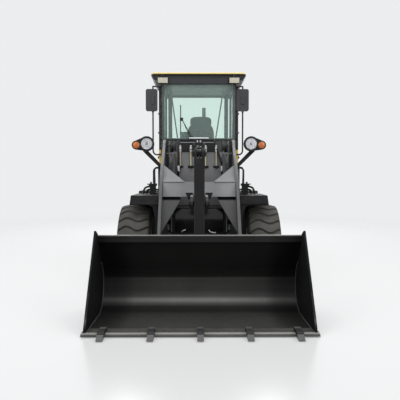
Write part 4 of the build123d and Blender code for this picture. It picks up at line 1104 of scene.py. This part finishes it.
# ======== rear of the machine
def hood_parts():
    """Side louvres, latches, handles, hinge straps and lifting eyes of the hood."""
    dark = Piece("hood_louvres", "engine_hood", "hose_rubber")
    for side in BOTH:
        for k in range(9):
            s = 2420 + k * 42
            dark.block(side * 519, side * 523, s, s + 20, 1480, 1760)
        dark.block(side * 519, side * 522, 2900, 3380, 1200, 1380)
        for k in range(11):
            s = 2915 + k * 42
            dark.block(side * 520, side * 525, s, s + 16, 1215, 1365)
    for k in range(7):
        z = 1210 + 380 * (k + 0.5) / 7
        dark.block(-350, 350, 3530, 3538, z - 2, z + 2)
    dark.done(0.8)
    latch = Piece("hood_latches", "engine_hood", "frame_paint")
    for side in BOTH:
        latch.block(side * 520, side * 534, 2330, 2390, 1180, 1280)
        latch.lathe(at(side * 534, 2360, 1230), LEFT * side, [(0, 20), (6, 20), (8, 16)], 24)
        latch.tube([at(side * 520, 2460, 1300), at(side * 545, 2460, 1300), at(side * 545, 2640, 1300),
            at(side * 520, 2640, 1300)], 9, 10)
        latch.block(side * 300, side * 360, 3536, 3548, 1110, 1180)
        latch.tube([at(side * 240, 2480, 1948), at(side * 240, 2480, 1985), at(side * 240, 2560, 1985),
            at(side * 240, 2560, 1946)], 9, 10)
    latch.tube([at(-120, 3538, 1620), at(-120, 3566, 1620), at(120, 3566, 1620), at(120, 3538, 1620)], 9, 10)
    latch.done(1.0)
    stack = Piece("stack_rings", "engine_hood", "frame_paint")
    for z in (1850, 1990, 2130):
        stack.lathe(at(108, 2900, z), UP, [(0, 63), (16, 63)], 32)
    stack.lathe(at(108, 2900, 2168), UP, [(0, 60), (30, 36)], 32, caps=False)
    stack.bolt(at(108, 2836, 1858), FRONT, 14)
    stack.done(0.8)
    bowl = Piece("cleaner_bowl", "engine_hood", "frame_paint")
    bowl.lathe(at(-220, 2650, 2072), UP, [(0, 60), (6, 96), (14, 110), (60, 110), (66, 104), (140, 104),
        (146, 108), (157, 104), (159, 60)], 44)
    for c, s in circle(18):
        spot = at(-220 + 106 * c, 2650 + 106 * s, 2080)
        bowl.rod(spot, spot + UP * 0.045, 3, 6)
    bowl.done(0.8)


hood_parts()


def rear_parts():
    """Lamp surrounds, steps, fuel cap, seams and bolts of the rear frame."""
    trim = Piece("rear_lamp_surrounds", "rear_frame", "fender_plastic")
    for side in BOTH:
        for x0, x1, z0, z1 in ((488, 500, 978, 1072), (620, 632, 978, 1072), (488, 632, 978, 990),
                (488, 632, 1060, 1072)):
            trim.block(side * x0, side * x1, 3630, 3642, z0, z1)
        for z in (640, 800):
            trim.block(side * 640, side * 792, 1382, 1718, z, z + 6)
            for k in range(8):
                trim.block(side * 650, side * 790, 1395 + k * 41, 1405 + k * 41, z + 6, z + 12)
        trim.block(side * 655, side * 812, 1382, 1718, 600, 606)
    trim.done(1.0)
    cap = Piece("tank_parts", "rear_frame", "frame_paint")
    for side in BOTH:
        cap.lathe(at(side * 500, 1355, 1120), UP, [(0, 46), (10, 46), (12, 40), (30, 40), (33, 34)], 28)
        for s in (1345, 1755):
            for z in (520, 590, 860, 1080):
                cap.bolt(at(side * 790, s, z), LEFT * side, 14)
        for s in (1420, 2120):
            cap.bolt(at(side * 371, s + 30, 940), LEFT * side, 26)
        for z in (640, 780, 920, 1060):
            cap.bolt(at(side * 700, 3556, z), Vector((side * 0.6, 0.8, 0)).normalized(), 20)
    cap.done(1.0)
    shaft = Piece("drive_shaft", "rear_frame", "engine_iron")
    shaft.rod(at(0, 1420, 600), at(0, 2200, 545), 38, 24)
    for s, z in ((1440, 599), (2160, 548)):
        shaft.lathe(at(0, s, z), BACK, [(-30, 60), (30, 60)], 24)
    shaft.done(1.5)


rear_parts()


def front_details():
    """Nose plate, frame bolts and glossy panel between the lift arms, and the front shaft."""
    nose = Piece("nose_panel", "front_frame", "gloss_black")
    profile = [(-252, 720), (-262, 760), (-266, 900), (-262, 985), (-240, 1030), (-200, 1052), (-120, 1062),
        (-120, 1040), (-230, 1000), (-250, 900)]
    nose.prism([at(-300, s, z) for s, z in profile], (600, 0, 0))
    nose.done(6.0, segments=3)
    strips = Piece("nose_strips", "front_frame", "edge_grey")
    for side in BOTH:
        strips.block(side * 338, side * 347, -262, -246, 745, 935)
    strips.done(1.5)
    marks = Piece("nose_greasers", "front_frame", "light_fitting_and_highlight")
    marks.tube([at(-218, -270, 742), at(-205, -272, 756), at(-185, -274, 768), at(-165, -274, 774)], 7, 8)
    marks.lathe(at(62, -268, 770), FRONT, [(0, 9), (12, 7)], 12)
    marks.tube([at(118, -270, 768), at(135, -272, 750), at(160, -274, 738), at(205, -274, 734)], 8, 8)
    marks.done()
    bolts = Piece("frame_bolts", "front_frame", "frame_paint")
    for side in BOTH:
        for s, z in ((760, 900), (560, 1180), (480, 1400)):
            bolts.bolt(at(side * 345, s, z), LEFT * side, 20)
        for s in (-40, 60, 160):
            for x in (430, 540):
                bolts.bolt(at(side * x, s, 1200), UP, 14)
    bolts.done(0.8)
    shaft = Piece("front_shaft", "front_frame", "engine_iron")
    shaft.rod(at(0, 120, 560), at(0, 800, 590), 36, 24)
    shaft.done(1.0)


front_details()


soften_nodes(3, "boom_arm_left", "boom_arm_right", "boom_crossbeam", "bellcrank", "tilt_link", "bucket_shell",
    "cutting_edge", "front_frame", "rear_frame", "counterweight", "tow_hitch", "side_tanks")
soften_nodes(4, "cab_front", "cab_rear", "cab_sides", "door_left", "door_right", "front_fenders",
    "rear_fenders", "roof_liner", "headlamp_brackets")
soften_nodes(14, "engine_hood")
